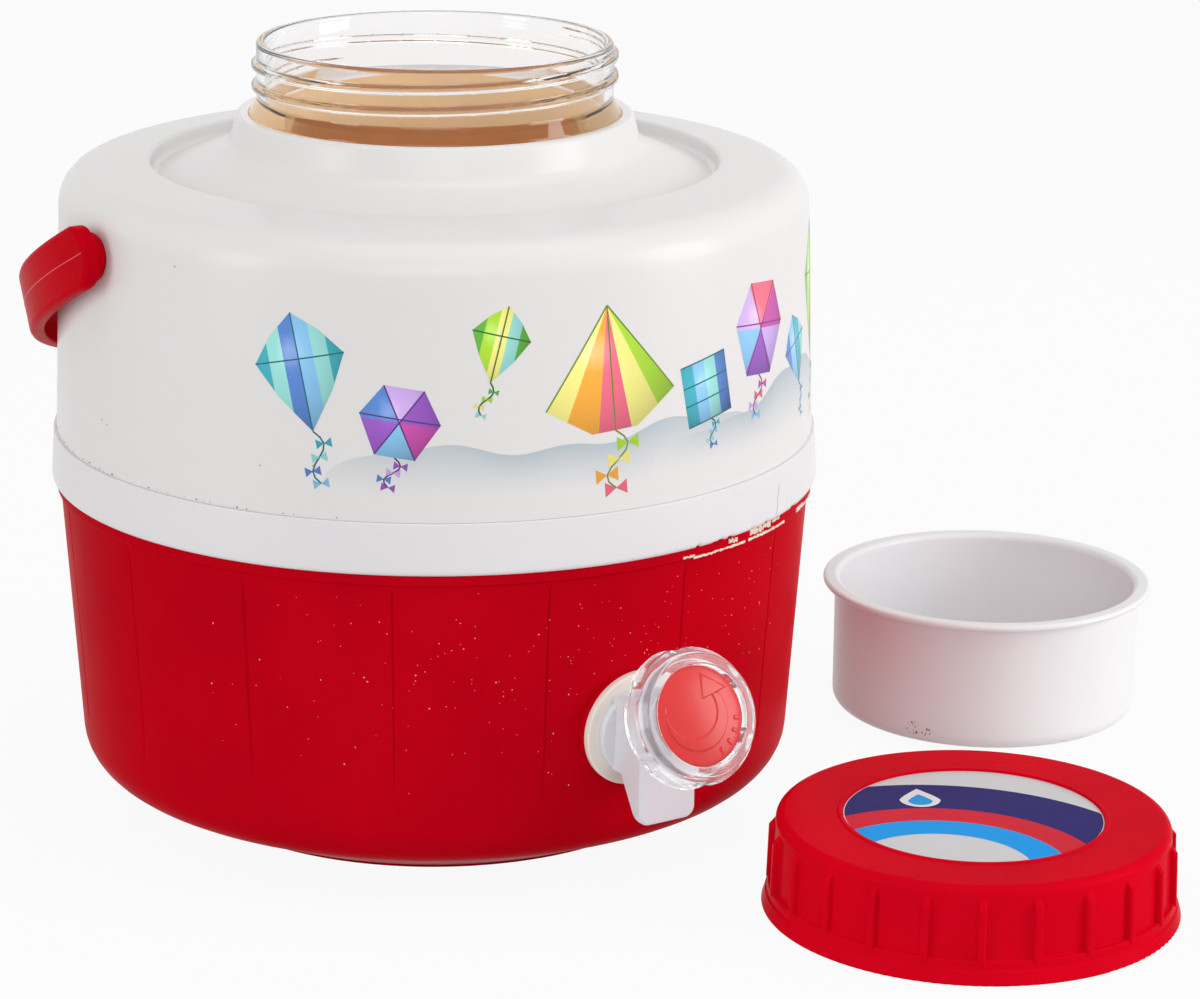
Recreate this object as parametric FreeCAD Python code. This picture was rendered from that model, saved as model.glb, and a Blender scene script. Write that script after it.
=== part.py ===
import FreeCAD, Part
import math
import os

os.makedirs("parts", exist_ok=True)
V = FreeCAD.Vector
X_AXIS = V(1, 0, 0)
Y_AXIS = V(0, 1, 0)
Z_AXIS = V(0, 0, 1)
TOP = V(0, 0, 0)

# An insulated water jug: a white upper shell and a red tub round a clear inner vessel,
# with a screw cap and a cup set down beside it. Millimetres, +Z up, the origin on the
# jug's axis at the floor. The tap points to -Y and the handle swings about an X axis.

# Clearances
FIT_GAP = 0.05          # between fixed pieces whose round faces meet
RUN_GAP = 0.07          # radial running clearance of a pin in its hole
MOVE_GAP = 0.4          # between pieces that move past each other

# Body. The two shells meet behind the band, and the other radii are set off from there.
WALL = 2.4
SEAM_R = 113.5
SEAM_UP = 7.8           # the joint's height above the band's lower edge
SEAM_GROOVE = 0.4
BAND_LOW = 103.0
BAND_H = 15.3
BAND_LOW_T = 3.5        # the band's thickness at its lower edge
BAND_TOP_T = 2.6
LIP_PROUD = 2.0
LIP_H = 2.9
LIP_STEP = 0.7
TUB_PROUD = 0.9
TUB_TAPER = 5.7         # how much narrower the tub is at its heel
HEEL_Z = 15.3
HEEL_ROUND = 14.0
HEEL_IN = 33.2          # from the heel in to the foot ring
BASE_FLOOR = 3.6
BASE_PAD_R = 24.0
FOOT_W = 7.5
BASE_RECESS = 1.2
SHELL_PROUD = 1.7
SHELL_TAPER = 2.7
UPPER_H = 78.6          # from the band's top to the shoulder
SHOULDER_ROUND = 11.0
SHOULDER_W = 26.9       # from the shoulder in to the channel round the collar
SHOULDER_RISE = 2.8
CHANNEL_DEEP = 4.7
CHANNEL_LEAN = 1.2
CHANNEL_RISE = 8.2      # the channel's floor climbs this much to the collar's foot
COLLAR_SPREAD = 2.6
COLLAR_H = 10.2
COLLAR_WALL = 3.4

# Inner vessel and its neck
VESSEL_WALL = 2.2
FOAM_FLOOR = 15.4       # thickness of the foam under the vessel
FOAM_LOW = 17.2         # and of the space beside it, at the heel and at the shoulder
FOAM_TOP = 16.5
VESSEL_DOWN = 15.9      # from the shoulder down to the vessel's own shoulder
NECK_R = 53.4
NECK_WALL = 2.5
NECK_FLARE = 2.3
NECK_FLARE_H = 4.4
NECK_ROOT_DOWN = 2.5
NECK_FIT = 0.3          # between the neck's root and the collar
NECK_H = 21.5           # how far the neck stands out of the collar

# Filler plug under the base
PLUG_IN = 9.0           # from the foot ring in to the plug's head
PLUG_R = 9.0
PLUG_HEAD_R = 13.0
PLUG_HEAD = 1.0

# Handle
PIVOT_DOWN = 15.4       # from the shoulder down to the pivots
HANDLE_OFF = 8.4        # from the shell to the outer face of each arm
HANDLE_PAST = 21.6      # from the shell to the outer face of the grip
HANDLE_END = 4.6        # thickness at the pivots
HANDLE_GRIP = 3.4       # thickness at the grip
HANDLE_WIDTH = 18.8
HANDLE_EDGE = 1.5       # rounding of the outer corners
HANDLE_INNER_EDGE = 0.8
HANDLE_POWER = 2.16     # how square the bow is: 2 is an ellipse
REST_GAP = 0.23         # between the grip and the band that it hangs against
STUB_R = 5.8
STUB_DEEP = 11.4        # how far the stub goes in past the shell's face
STUB_LIP = 1.6
STUB_LIP_PROUD = 0.7
HUB_FOOT_R = 6.8
SOCKET_WALL = 3.2
SOCKET_END = 2.2
GROOVE_ROOM = 0.3
GROOVE_W = 3.4

# Tap. Distances out are from the tub's wall at the tap's height.
TAP_Z = 52.0
TAP_TILT = 22.75        # the knob's axis rises by this angle
VALVE_INSET = 0.3       # the valve's axis starts this far behind the flange's back
TAP_OUT = 19.3
TAP_ROOT = 4.4
TAP_UNDER = 10.7
TAP_OVER = 11.0
SPOUT_H = 13.3
SPOUT_WALL = 1.9
SPOUT_LIP = 2.1         # depth of the spout's side walls at their foot
SPOUT_BEHIND = 0.8      # and how far behind the outlet they start at the top
SPOUT_CORNER = 3.4
OUTLET_IN = 5.5         # from the front plate in to the outlet's axis
OUTLET_R = 4.0
NOZZLE_T = 1.4
NOZZLE_H = 4.8
SHANK_R = 8.0
SHANK_ROOM = 0.3
WATERWAY_R = 4.5
FLANGE_W = 5.6
FLANGE_T = 2.0
GASKET_W = 3.8          # the gasket shows this much round the flange
GASKET_T = 2.6
PAD_W = 0.8
PAD_PROUD = 0.9
WASHER_W = 4.5
WASHER_T = 2.0
INNER_PAD_W = 2.5
INNER_PAD_T = 2.4
NUT_W = 4.0             # from the shank to the nut's flats
NUT_T = 5.5
SHANK_PAST_NUT = 2.0
BARREL_WALL = 4.4
BARREL_BORE = 5.0
BARREL_END = 27.0
TAP_CHEEK = 0.1         # the body stands this far out beside the barrel
CHAMBER_WIDER = 1.8
CHAMBER_LENGTH = 9.4
SEAT_AT = 4.6
SEAT_R = 4.0
SEAL_ROOM = 0.9
SEAL_T = 2.6
STEM_FOOT_IN = 0.3
STEM_FOOT = 1.8
RING_UP = 6.0           # from the chamber's end to the ring
RING_THICK_R = 0.9
STEM_NOSE_R = 3.2
KNOB_SKIRT = 1.6        # how far the knob covers the barrel's end
KNOB_T = 10.0
KNOB_R = 20.4
KNOB_LIP_IN = 2.8
KNOB_LIP_W = 3.3
KNOB_SHOULDER = 4.0
KNOB_WALL = 2.0
KNOB_SLEEVE = 1.8
KNOB_WEB = 2.2
KNOB_FLUTES = 6
FLUTE_R = 9.0
FLUTE_DEPTH = 1.3
INSERT_DOWN = 1.8
INSERT_SEAT = 1.2
INSERT_DOME = 1.9
SCREW_R = 1.9
SCREW_HEAD_W = 1.7
SCREW_HEAD = 1.6
SCREW_LENGTH = 9.0

# Cap, standing on the floor in front and to the right
CAP_ANGLE = -65.14      # degrees round from +X
CAP_AWAY = 10.4         # between its hem and the band
CAP_H = 27.8
CAP_ROOM = 2.1          # between the neck and the cap's bore, for the thread
CAP_WALL_TOP = 1.6
CAP_WALL_LOW = 2.2
CAP_STEP_T = 3.8
CAP_HEM_T = 5.5
CAP_HEM = 4.0
CAP_STEP_H = 3.1
CAP_ROUND = 2.6
CAP_TOP_T = 2.2
CAP_PLATE_DOWN = 7.1    # from the cap's top to the underside of its inner plate
CAP_PLATE_T = 1.5
CAP_LEDGE = 1.3
CAP_RIBS = 23
RIB_W = 2.4
RIB_OUT = 1.9
RIB_DOWN = 3.4
LABEL_R = 37.6
LABEL_RIM_W = 1.7
LABEL_RIM = 0.35
LABEL_SUNK = 0.7
LABEL_T = 0.3
SEAL_RING_PAST = 0.5
SEAL_RING_IN_PAST = 1.0
SEAL_RING_T = 1.6

# Cup, standing on the floor to the right: it nests in the neck
CUP_ANGLE = -8.79
CUP_AWAY = 25.4
CUP_FIT = 0.9
CUP_H = 43.7
CUP_RIM_W = 3.9
CUP_RIM_T = 2.3
CUP_WALL = 1.6
CUP_HEEL_IN = 3.4
CUP_HEEL = 4.6
CUP_BOTTOM_RECESS = 0.8


def rounded_wire(corners):
    """A closed wire in the XZ plane. Each corner is (r, z) or (r, z, rounding)."""
    count = len(corners)
    pts = [V(c[0], 0, c[1]) for c in corners]
    edges = []
    starts = []
    ends = []
    mids = []
    for i in range(count):
        radius = corners[i][2] if len(corners[i]) > 2 else 0.0
        here = pts[i]
        if radius <= 0:
            starts.append(here)
            ends.append(here)
            mids.append(None)
            continue
        back = (pts[i - 1] - here).normalize()
        ahead = (pts[(i + 1) % count] - here).normalize()
        angle = back.getAngle(ahead)
        length = radius / math.tan(angle / 2)
        half = (back + ahead).normalize()
        centre = here + half * (radius / math.sin(angle / 2))
        starts.append(here + back * length)
        ends.append(here + ahead * length)
        mids.append(centre - half * radius)
    for i in range(count):
        if mids[i] is not None:
            edges.append(Part.Arc(starts[i], mids[i], ends[i]).toShape())
        after = starts[(i + 1) % count]
        if (after - ends[i]).Length > 1e-6:
            edges.append(Part.makeLine(ends[i], after))
    return Part.Wire(edges)


def spun(corners):
    """The solid that a closed profile sweeps about the Z axis."""
    face = Part.Face(rounded_wire(corners))
    return face.revolve(TOP, Z_AXIS, 360)


def spun_face(face):
    return face.revolve(TOP, Z_AXIS, 360)


def rod(start, direction, length, radius):
    return Part.makeCylinder(radius, length, start, direction)


def placed(shape, base, x_dir, z_dir):
    """A shape drawn about +Z, set at base with its Z along z_dir and its X along x_dir."""
    turn = FreeCAD.Rotation(x_dir, V(0, 0, 0), z_dir, "ZXY")
    out = shape.copy()
    out.Placement = FreeCAD.Placement(base, turn)
    return out


def single(shape):
    """The one solid of a result, cleaned of leftover seams."""
    cleaned = shape.removeSplitter()
    solids = sorted(cleaned.Solids, key=lambda s: s.Volume)
    return solids[-1]


# Radii of the body
tub_top_r = SEAM_R + TUB_PROUD
heel_r = tub_top_r - TUB_TAPER
base_r = heel_r - HEEL_IN
plug_y = base_r - FOOT_W - PLUG_HEAD_R - PLUG_IN
lip_r = SEAM_R + LIP_PROUD
band_low_r = SEAM_R + BAND_LOW_T
band_top_r = SEAM_R + BAND_TOP_T
shell_low_r = SEAM_R + SHELL_PROUD
shoulder_r = shell_low_r - SHELL_TAPER
channel_r = shoulder_r - SHOULDER_W
channel_floor_r = channel_r - CHANNEL_LEAN
neck_root_r = NECK_R + NECK_FLARE
neck_bore = NECK_R - NECK_WALL
collar_bore = neck_root_r + NECK_FIT
collar_r = collar_bore + COLLAR_WALL
collar_foot_r = collar_r + COLLAR_SPREAD
vessel_low_r = heel_r - FOAM_LOW
vessel_top_r = shoulder_r - FOAM_TOP

# Heights of the body
lip_low = BAND_LOW - LIP_H
tub_top_z = lip_low - LIP_STEP
seam_z = BAND_LOW + SEAM_UP
band_top = BAND_LOW + BAND_H
shell_low_z = band_top + SEAM_GROOVE
shoulder_z = band_top + UPPER_H
channel_top = shoulder_z + SHOULDER_RISE
channel_floor = channel_top - CHANNEL_DEEP
collar_foot_z = channel_floor + CHANNEL_RISE
collar_top = collar_foot_z + COLLAR_H
vessel_floor = BASE_FLOOR + FOAM_FLOOR
vessel_shoulder = shoulder_z - VESSEL_DOWN
neck_root_z = channel_floor - NECK_ROOT_DOWN
neck_flare_low = collar_top + SEAM_GROOVE / 2
neck_flare_top = neck_flare_low + NECK_FLARE_H
neck_top = collar_top + NECK_H


def tub_r(z):
    """Outside radius of the tub's wall at height z."""
    share = (z - HEEL_Z) / (tub_top_z - HEEL_Z)
    return heel_r + share * (tub_top_r - heel_r)


def shell_r(z):
    """Outside radius of the upper shell's wall at height z."""
    share = (z - shell_low_z) / (shoulder_z - shell_low_z)
    return shell_low_r + share * (shoulder_r - shell_low_r)


# Handle and its bearings, measured from the shell beside the pivots
pivot_z = shoulder_z - PIVOT_DOWN
handle_half = shell_r(pivot_z) + HANDLE_OFF
handle_reach = shell_r(pivot_z) + HANDLE_PAST
stub_in = shell_r(pivot_z) - STUB_DEEP
stub_lip_r = STUB_R + STUB_LIP_PROUD
groove_r = stub_lip_r + GROOVE_ROOM
groove_out = stub_in + GROOVE_W
socket_r = STUB_R + SOCKET_WALL
socket_in = stub_in - SOCKET_END

# Degrees below level at which the grip's lower inner corner meets the band
corner_out = handle_reach - HANDLE_GRIP
corner_away = math.hypot(corner_out, HANDLE_WIDTH / 2)
rest_r = band_top_r - HANDLE_INNER_EDGE + REST_GAP
handle_slope = math.degrees(
    math.acos(rest_r / corner_away) - math.atan(HANDLE_WIDTH / 2 / corner_out))

# Tap, measured from the tub's wall and from the tap's height
tap_front = tub_r(TAP_Z) + TAP_OUT
tap_back = tub_r(TAP_Z) + TAP_ROOT
tap_low = TAP_Z - TAP_UNDER
tap_top_back = TAP_Z + TAP_OVER
spout_low = tap_low - SPOUT_H
outlet_out = tap_front - OUTLET_IN
spout_back_top = outlet_out - OUTLET_R - SPOUT_BEHIND
spout_back_low = tap_front - SPOUT_LIP
nozzle_r = OUTLET_R + NOZZLE_T
nozzle_low = tap_low - NOZZLE_H
shank_hole_r = SHANK_R + SHANK_ROOM
flange_r = SHANK_R + FLANGE_W
gasket_r = flange_r + GASKET_W
pad_r = gasket_r + PAD_W
washer_r = SHANK_R + WASHER_W
inner_pad_r = washer_r + INNER_PAD_W
nut_across = 2 * (SHANK_R + NUT_W)
barrel_r = BARREL_BORE + BARREL_WALL
tap_half = barrel_r + TAP_CHEEK
chamber_r = BARREL_BORE + CHAMBER_WIDER
chamber_end = SEAT_AT + CHAMBER_LENGTH
seal_r = chamber_r - SEAL_ROOM
stem_r = BARREL_BORE - MOVE_GAP
stem_foot_r = seal_r - STEM_FOOT_IN
ring_at = chamber_end + RING_UP
knob_back = BARREL_END - KNOB_SKIRT
knob_front = knob_back + KNOB_T
knob_lip_r = KNOB_R - KNOB_LIP_IN
insert_r = knob_lip_r - KNOB_LIP_W
insert_edge = knob_front - INSERT_DOWN
insert_floor = insert_edge - INSERT_SEAT
screw_head_r = SCREW_R + SCREW_HEAD_W

# Cap and cup, which fit the neck
cap_bore = NECK_R + CAP_ROOM
cap_hem_r = cap_bore + CAP_HEM_T
cap_step_r = cap_bore + CAP_STEP_T
cap_wall_low_r = cap_bore + CAP_WALL_LOW
cap_wall_top_r = cap_bore + CAP_WALL_TOP
cap_ledge_r = cap_bore - CAP_LEDGE
cap_step = CAP_HEM + CAP_STEP_H
cap_plate_low = CAP_H - CAP_PLATE_DOWN
rib_top = CAP_H - RIB_DOWN
label_rim_r = LABEL_R + LABEL_RIM_W
seal_ring_out = NECK_R + SEAL_RING_PAST
seal_ring_in = neck_bore - SEAL_RING_IN_PAST
cap_away = band_low_r + CAP_AWAY + cap_hem_r
cap_x = cap_away * math.cos(math.radians(CAP_ANGLE))
cap_y = cap_away * math.sin(math.radians(CAP_ANGLE))
cup_r = neck_bore - CUP_FIT
cup_rim_r = cup_r + CUP_RIM_W
cup_foot_r = cup_r - CUP_HEEL_IN
cup_away = band_low_r + CUP_AWAY + cup_rim_r
cup_x = cup_away * math.cos(math.radians(CUP_ANGLE))
cup_y = cup_away * math.sin(math.radians(CUP_ANGLE))

# Lines that several pieces share
skirt_in = SEAM_R - WALL
tub_taper = math.degrees(math.atan((tub_top_r - heel_r) / (tub_top_z - HEEL_Z)))

cavity = [
    (0, BASE_FLOOR),
    (base_r + 1.0, BASE_FLOOR, 2.0),
    (heel_r - WALL, HEEL_Z + 1.6, HEEL_ROUND - WALL),
    (skirt_in, tub_top_z - 4.0),
    (skirt_in, shell_low_z),
    (shell_low_r - WALL, shell_low_z + WALL),
    (shoulder_r - WALL, shoulder_z - WALL, SHOULDER_ROUND - WALL),
    (channel_r + WALL, channel_top - WALL - 0.2, 0.8),
    (channel_r + WALL - 0.6, channel_floor - WALL, 1.2),
    (collar_foot_r - WALL, collar_foot_z - WALL, 3.6),
    (collar_r - WALL, collar_top - WALL),
    (collar_bore, collar_top - WALL),
    (collar_bore, collar_top),
    (0, collar_top),
]

vessel_outside = [
    (0, vessel_floor),
    (vessel_low_r, vessel_floor, 10.0),
    (vessel_top_r, vessel_shoulder, 14.0),
    (neck_root_r, neck_root_z, 5.0),
    (neck_root_r, neck_flare_low, 1.5),
    (NECK_R, neck_flare_top, 2.0),
    (NECK_R, neck_top, 1.2),
    (0, neck_top),
]

vessel_inside = [
    (0, vessel_floor + VESSEL_WALL),
    (vessel_low_r - VESSEL_WALL, vessel_floor + VESSEL_WALL, 8.0),
    (vessel_top_r - VESSEL_WALL, vessel_shoulder - 1.7, 12.0),
    (neck_bore, neck_root_z - 0.9, 7.0),
    (neck_bore, neck_top, 1.0),
    (0, neck_top),
]

# Where the tap stands on the tub, square to its sloping wall
mount_dir = V(0, -math.cos(math.radians(tub_taper)), -math.sin(math.radians(tub_taper)))
mount_side = X_AXIS
mount_at = V(0, -tub_r(TAP_Z), TAP_Z)
gasket_at = mount_at + mount_dir * PAD_PROUD
flange_at = gasket_at + mount_dir * GASKET_T

# The valve's own axis, rising outwards
tilt = math.radians(TAP_TILT)
valve_dir = V(0, -math.cos(tilt), math.sin(tilt))
valve_at = flange_at - mount_dir * VALVE_INSET


def on_valve(shape):
    """Set a shape drawn about +Z on the valve's axis."""
    return placed(shape, valve_at, X_AXIS, valve_dir)


def on_mount(shape, along):
    """Set a shape drawn about +Z on the shank's axis, this far out of the tub's wall."""
    return placed(shape, mount_at + mount_dir * along, mount_side, mount_dir)


def make_upper_shell():
    outside = [
        (SEAM_R, seam_z),
        (SEAM_R, shell_low_z),
        (shell_low_r, shell_low_z, 0.5),
        (shoulder_r, shoulder_z, SHOULDER_ROUND),
        (channel_r, channel_top, 1.2),
        (channel_floor_r, channel_floor, 1.5),
        (collar_foot_r, collar_foot_z, 6.0),
        (collar_r, collar_top, 1.4),
        (collar_bore, collar_top, 0.6),
    ]
    inside = [c for c in reversed(cavity[4:-2])]
    shell = spun(outside + inside + [(skirt_in, seam_z)])
    for side in (-1, 1):
        start = V(side * stub_in, 0, pivot_z)
        hole = rod(start, V(side, 0, 0), handle_half - stub_in, STUB_R + RUN_GAP)
        shell = shell.cut(hole)
    return single(shell)


def make_waist_band():
    bore = SEAM_R + FIT_GAP
    return spun([
        (bore, BAND_LOW),
        (band_low_r, BAND_LOW, 1.6),
        (band_top_r, band_top, 0.6),
        (bore, band_top),
    ])


def make_lower_shell():
    outside = [
        (0, 0),
        (base_r, 0, 0.6),
        (base_r + 0.6, 1.0, 0.8),
        (heel_r, HEEL_Z, HEEL_ROUND),
        (tub_top_r, tub_top_z, 0.3),
        (lip_r, lip_low, 0.4),
        (lip_r, BAND_LOW, 0.4),
        (SEAM_R, BAND_LOW),
        (SEAM_R, seam_z),
        (skirt_in, seam_z),
    ]
    inside = [c for c in reversed(cavity[:4])]
    tub = spun(outside + inside)
    ring = Part.makeCylinder(base_r - FOOT_W, BASE_RECESS)
    ring = ring.cut(Part.makeCylinder(BASE_PAD_R, BASE_RECESS))
    tub = tub.cut(ring)
    pad = Part.makeCylinder(pad_r, PAD_PROUD + WALL + 1.5)
    pad = on_mount(pad, -WALL - 1.5)
    pad = pad.cut(spun_face(Part.Face(rounded_wire(cavity))))
    tub = tub.fuse(pad)
    hole = on_mount(Part.makeCylinder(shank_hole_r, 3 * gasket_r), -gasket_r)
    tub = tub.cut(hole)
    tub = tub.cut(rod(V(0, plug_y, 0), Z_AXIS, BASE_FLOOR, PLUG_R + FIT_GAP))
    return single(tub)


def make_plug():
    head = Part.makeCylinder(PLUG_HEAD_R, PLUG_HEAD, V(0, plug_y, BASE_RECESS - PLUG_HEAD))
    body = Part.makeCylinder(PLUG_R, BASE_FLOOR - BASE_RECESS, V(0, plug_y, BASE_RECESS))
    slot = Part.makeBox(PLUG_R, 2.0, 0.7, V(-PLUG_R / 2, plug_y - 1.0, BASE_RECESS - PLUG_HEAD))
    return single(head.fuse(body).cut(slot))


def make_vessel():
    body = spun_face(Part.Face(rounded_wire(vessel_outside)))
    pad_in = tub_r(TAP_Z) - vessel_low_r + VESSEL_WALL + INNER_PAD_T
    pad = on_mount(Part.makeCylinder(inner_pad_r, 3 * INNER_PAD_T), -pad_in)
    inside = spun_face(Part.Face(rounded_wire(vessel_inside)))
    inside = inside.cut(pad)
    body = body.cut(inside)
    hole = on_mount(Part.makeCylinder(shank_hole_r, 3 * gasket_r), -3 * gasket_r)
    return single(body.cut(hole)), pad_in


def make_socket(side):
    """The blind bearing that the handle's stub snaps into, behind the upper shell."""
    start = V(side * socket_in, 0, pivot_z)
    out = V(side, 0, 0)
    body = rod(start, out, handle_half - socket_in, socket_r)
    room = Part.Face(rounded_wire(cavity)).makeOffset2D(-FIT_GAP)
    body = body.common(spun_face(room))
    groove_in = V(side * (stub_in - MOVE_GAP), 0, pivot_z)
    length = groove_out - stub_in + MOVE_GAP
    body = body.cut(rod(groove_in, out, length, groove_r))
    body = body.cut(rod(groove_in, out, handle_half - stub_in, STUB_R + RUN_GAP))
    return single(body)


def bow(half, reach):
    """Points of half of a squarish ellipse, from one pivot round to the other."""
    steps = 48
    points = []
    for i in range(steps + 1):
        angle = math.pi * i / steps
        c = math.cos(angle)
        s = abs(math.sin(angle))
        across = half * math.copysign(abs(c) ** (2 / HANDLE_POWER), c)
        points.append(V(across, reach * s ** (2 / HANDLE_POWER), 0))
    return points


def bow_wire(share, z):
    """The bow's outline seen square on at height z; share says how far its edges draw in."""
    less = HANDLE_EDGE * share
    more = HANDLE_INNER_EDGE * share
    outer = bow(handle_half - less, handle_reach - less)
    inner = bow(handle_half - HANDLE_END + more, handle_reach - HANDLE_GRIP + more)
    curve_out = Part.BSplineCurve()
    curve_out.interpolate(outer)
    curve_in = Part.BSplineCurve()
    curve_in.interpolate(inner)
    drop = V(0, -HANDLE_WIDTH / 2, 0)
    wire = Part.Wire([
        curve_out.toShape(),
        Part.makeLine(outer[-1], outer[-1] + drop),
        Part.makeLine(outer[-1] + drop, inner[-1] + drop),
        Part.makeLine(inner[-1] + drop, inner[-1]),
        curve_in.toShape(),
        Part.makeLine(inner[0], inner[0] + drop),
        Part.makeLine(inner[0] + drop, outer[0] + drop),
        Part.makeLine(outer[0] + drop, outer[0]),
    ])
    wire.translate(V(0, 0, z))
    return wire


def make_handle():
    half = HANDLE_WIDTH / 2
    knee = 1 - math.sqrt(0.5)
    steps = [
        (1, -half),
        (knee, HANDLE_EDGE * knee - half),
        (0, HANDLE_EDGE - half),
        (0, half - HANDLE_EDGE),
        (knee, half - HANDLE_EDGE * knee),
        (1, half),
    ]
    strap = Part.makeLoft([bow_wire(share, z) for share, z in steps], True, True)
    corner = V(-1.5 * handle_half, -1.05 * half, -1.5 * half)
    ends = Part.makeBox(3 * handle_half, half, 3 * half, corner)
    lobes = rod(V(-handle_half, 0, 0), X_AXIS, 2 * handle_half, half)
    rims = [e for e in lobes.Edges if e.BoundBox.XLength < 0.01]
    strap = strap.cut(ends.cut(lobes.makeFillet(HANDLE_EDGE, rims)))
    hub_out = handle_half - HANDLE_END + HANDLE_INNER_EDGE
    hub_in = shell_r(pivot_z - HUB_FOOT_R) + MOVE_GAP
    for side in (-1, 1):
        out = V(side, 0, 0)
        foot = V(side * hub_in, 0, 0)
        hub = Part.makeCone(HUB_FOOT_R, half - HANDLE_INNER_EDGE, hub_out - hub_in, foot, out)
        strap = strap.fuse(hub)
        tip = V(side * stub_in, 0, 0)
        strap = strap.fuse(rod(tip, out, hub_in - stub_in + 1.0, STUB_R))
        lip = V(side * (stub_in + MOVE_GAP), 0, 0)
        strap = strap.fuse(rod(lip, out, STUB_LIP, stub_lip_r))
    strap = single(strap)
    strap.rotate(TOP, X_AXIS, -handle_slope)
    strap.translate(V(0, 0, pivot_z))
    return single(strap)


def make_tap_body():
    side = [
        V(-tap_half, -tap_back, tap_low),
        V(-tap_half, -tap_front, tap_low),
        V(-tap_half, -tap_front, tap_top_back + (tap_front - tap_back) * math.tan(tilt)),
        V(-tap_half, -tap_back, tap_top_back),
    ]
    body = Part.Face(Part.makePolygon(side + [side[0]])).extrude(V(2 * tap_half, 0, 0))
    chute = [
        V(-tap_half, -spout_back_top, tap_low),
        V(-tap_half, -spout_back_low, spout_low),
        V(-tap_half, -tap_front, spout_low),
        V(-tap_half, -tap_front, tap_low),
    ]
    chute = Part.Face(Part.makePolygon(chute + [chute[0]])).extrude(V(2 * tap_half, 0, 0))
    hollow_w = 2 * (tap_half - SPOUT_WALL)
    hollow = Part.makeBox(
        hollow_w, tap_front - SPOUT_WALL - tap_back, tap_low - spout_low,
        V(-hollow_w / 2, -tap_front + SPOUT_WALL, spout_low))
    chute = chute.cut(hollow)
    corner_z = spout_low + SPOUT_CORNER
    deep = tap_front - tap_back
    for side in (-1, 1):
        middle = V(side * (tap_half - SPOUT_CORNER), -tap_front, corner_z)
        square = Part.makeBox(SPOUT_CORNER, deep, SPOUT_CORNER,
                              V(min(middle.x, side * tap_half), -tap_front, spout_low))
        chute = chute.cut(square.cut(rod(middle, Y_AXIS, deep, SPOUT_CORNER)))
    body = body.fuse(chute)
    nozzle = rod(V(0, -outlet_out, nozzle_low), Z_AXIS, tap_low - nozzle_low + 1, nozzle_r)
    nozzle = nozzle.common(Part.makeBox(
        2 * nozzle_r, tap_front - SPOUT_WALL, 2 * nozzle_r,
        V(-nozzle_r, -tap_front + SPOUT_WALL / 2, nozzle_low)))
    body = body.fuse(nozzle)
    body = single(body)
    upright = []
    for edge in body.Edges:
        box = edge.BoundBox
        at_front = abs(box.Center.y + tap_front) < 0.01 and box.ZLength > 10
        if at_front and abs(abs(box.Center.x) - tap_half) < 0.01:
            upright.append(edge)
    body = body.makeFillet(1.2, upright)
    body = body.fuse(on_valve(Part.makeCylinder(barrel_r, BARREL_END - 2.0, V(0, 0, 2.0))))
    flange = Part.makeCylinder(flange_r, FLANGE_T)
    flange = flange.makeFillet(0.6, [flange.Edges[0]])
    body = body.fuse(on_mount(flange, PAD_PROUD + GASKET_T))
    root_cut = Part.makeCylinder(3 * flange_r, gasket_r)
    body = body.cut(on_mount(root_cut, PAD_PROUD + GASKET_T - gasket_r))
    shank_in = -(vessel_pad + WASHER_T + NUT_T + SHANK_PAST_NUT)
    shank_length = PAD_PROUD + GASKET_T - shank_in + 1.0
    body = body.fuse(on_mount(Part.makeCylinder(SHANK_R, shank_length), shank_in))
    bore_length = PAD_PROUD + GASKET_T - shank_in + 5.5
    body = body.cut(on_mount(Part.makeCylinder(WATERWAY_R, bore_length), shank_in))
    body = body.cut(on_valve(Part.makeCylinder(SEAT_R, SEAT_AT + 2.0, V(0, 0, -2.0))))
    chamber = Part.makeCylinder(chamber_r, chamber_end - SEAT_AT, V(0, 0, SEAT_AT))
    body = body.cut(on_valve(chamber))
    body = body.cut(on_valve(Part.makeCylinder(BARREL_BORE, BARREL_END + 1, V(0, 0, SEAT_AT))))
    outlet_top = valve_at.z + (outlet_out + valve_at.y) * math.tan(tilt)
    outlet = rod(V(0, -outlet_out, nozzle_low), Z_AXIS, outlet_top - nozzle_low, OUTLET_R)
    return single(body.cut(outlet))


def make_gasket():
    ring = Part.makeCylinder(gasket_r, GASKET_T)
    ring = ring.cut(Part.makeCylinder(SHANK_R + FIT_GAP, GASKET_T))
    outer = [e for e in ring.Edges if abs(e.BoundBox.XLength - 2 * gasket_r) < 0.01]
    outer = [e for e in outer if e.BoundBox.ZLength < 0.01]
    ring = ring.makeFillet(0.8, outer)
    return on_mount(ring, PAD_PROUD)


def make_inner_washer():
    ring = Part.makeCylinder(washer_r, WASHER_T).cut(
        Part.makeCylinder(SHANK_R + FIT_GAP, WASHER_T))
    return on_mount(ring, -vessel_pad - WASHER_T)


def make_nut():
    corner = nut_across / math.sqrt(3)
    points = []
    for i in range(7):
        angle = math.radians(60 * i + 30)
        points.append(V(corner * math.cos(angle), corner * math.sin(angle), 0))
    nut = Part.Face(Part.makePolygon(points)).extrude(V(0, 0, NUT_T))
    trim = spun([
        (0, 0),
        (corner - 0.9, 0),
        (corner + 0.1, 1.0),
        (corner + 0.1, NUT_T),
        (0, NUT_T),
    ])
    nut = nut.common(trim)
    nut = nut.cut(Part.makeCylinder(SHANK_R + FIT_GAP, NUT_T))
    return on_mount(nut, -vessel_pad - WASHER_T - NUT_T)


def make_seal():
    disc = Part.makeCylinder(seal_r, SEAL_T, V(0, 0, SEAT_AT))
    disc = disc.makeFillet(0.5, [disc.Edges[2]])
    return on_valve(disc)


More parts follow.
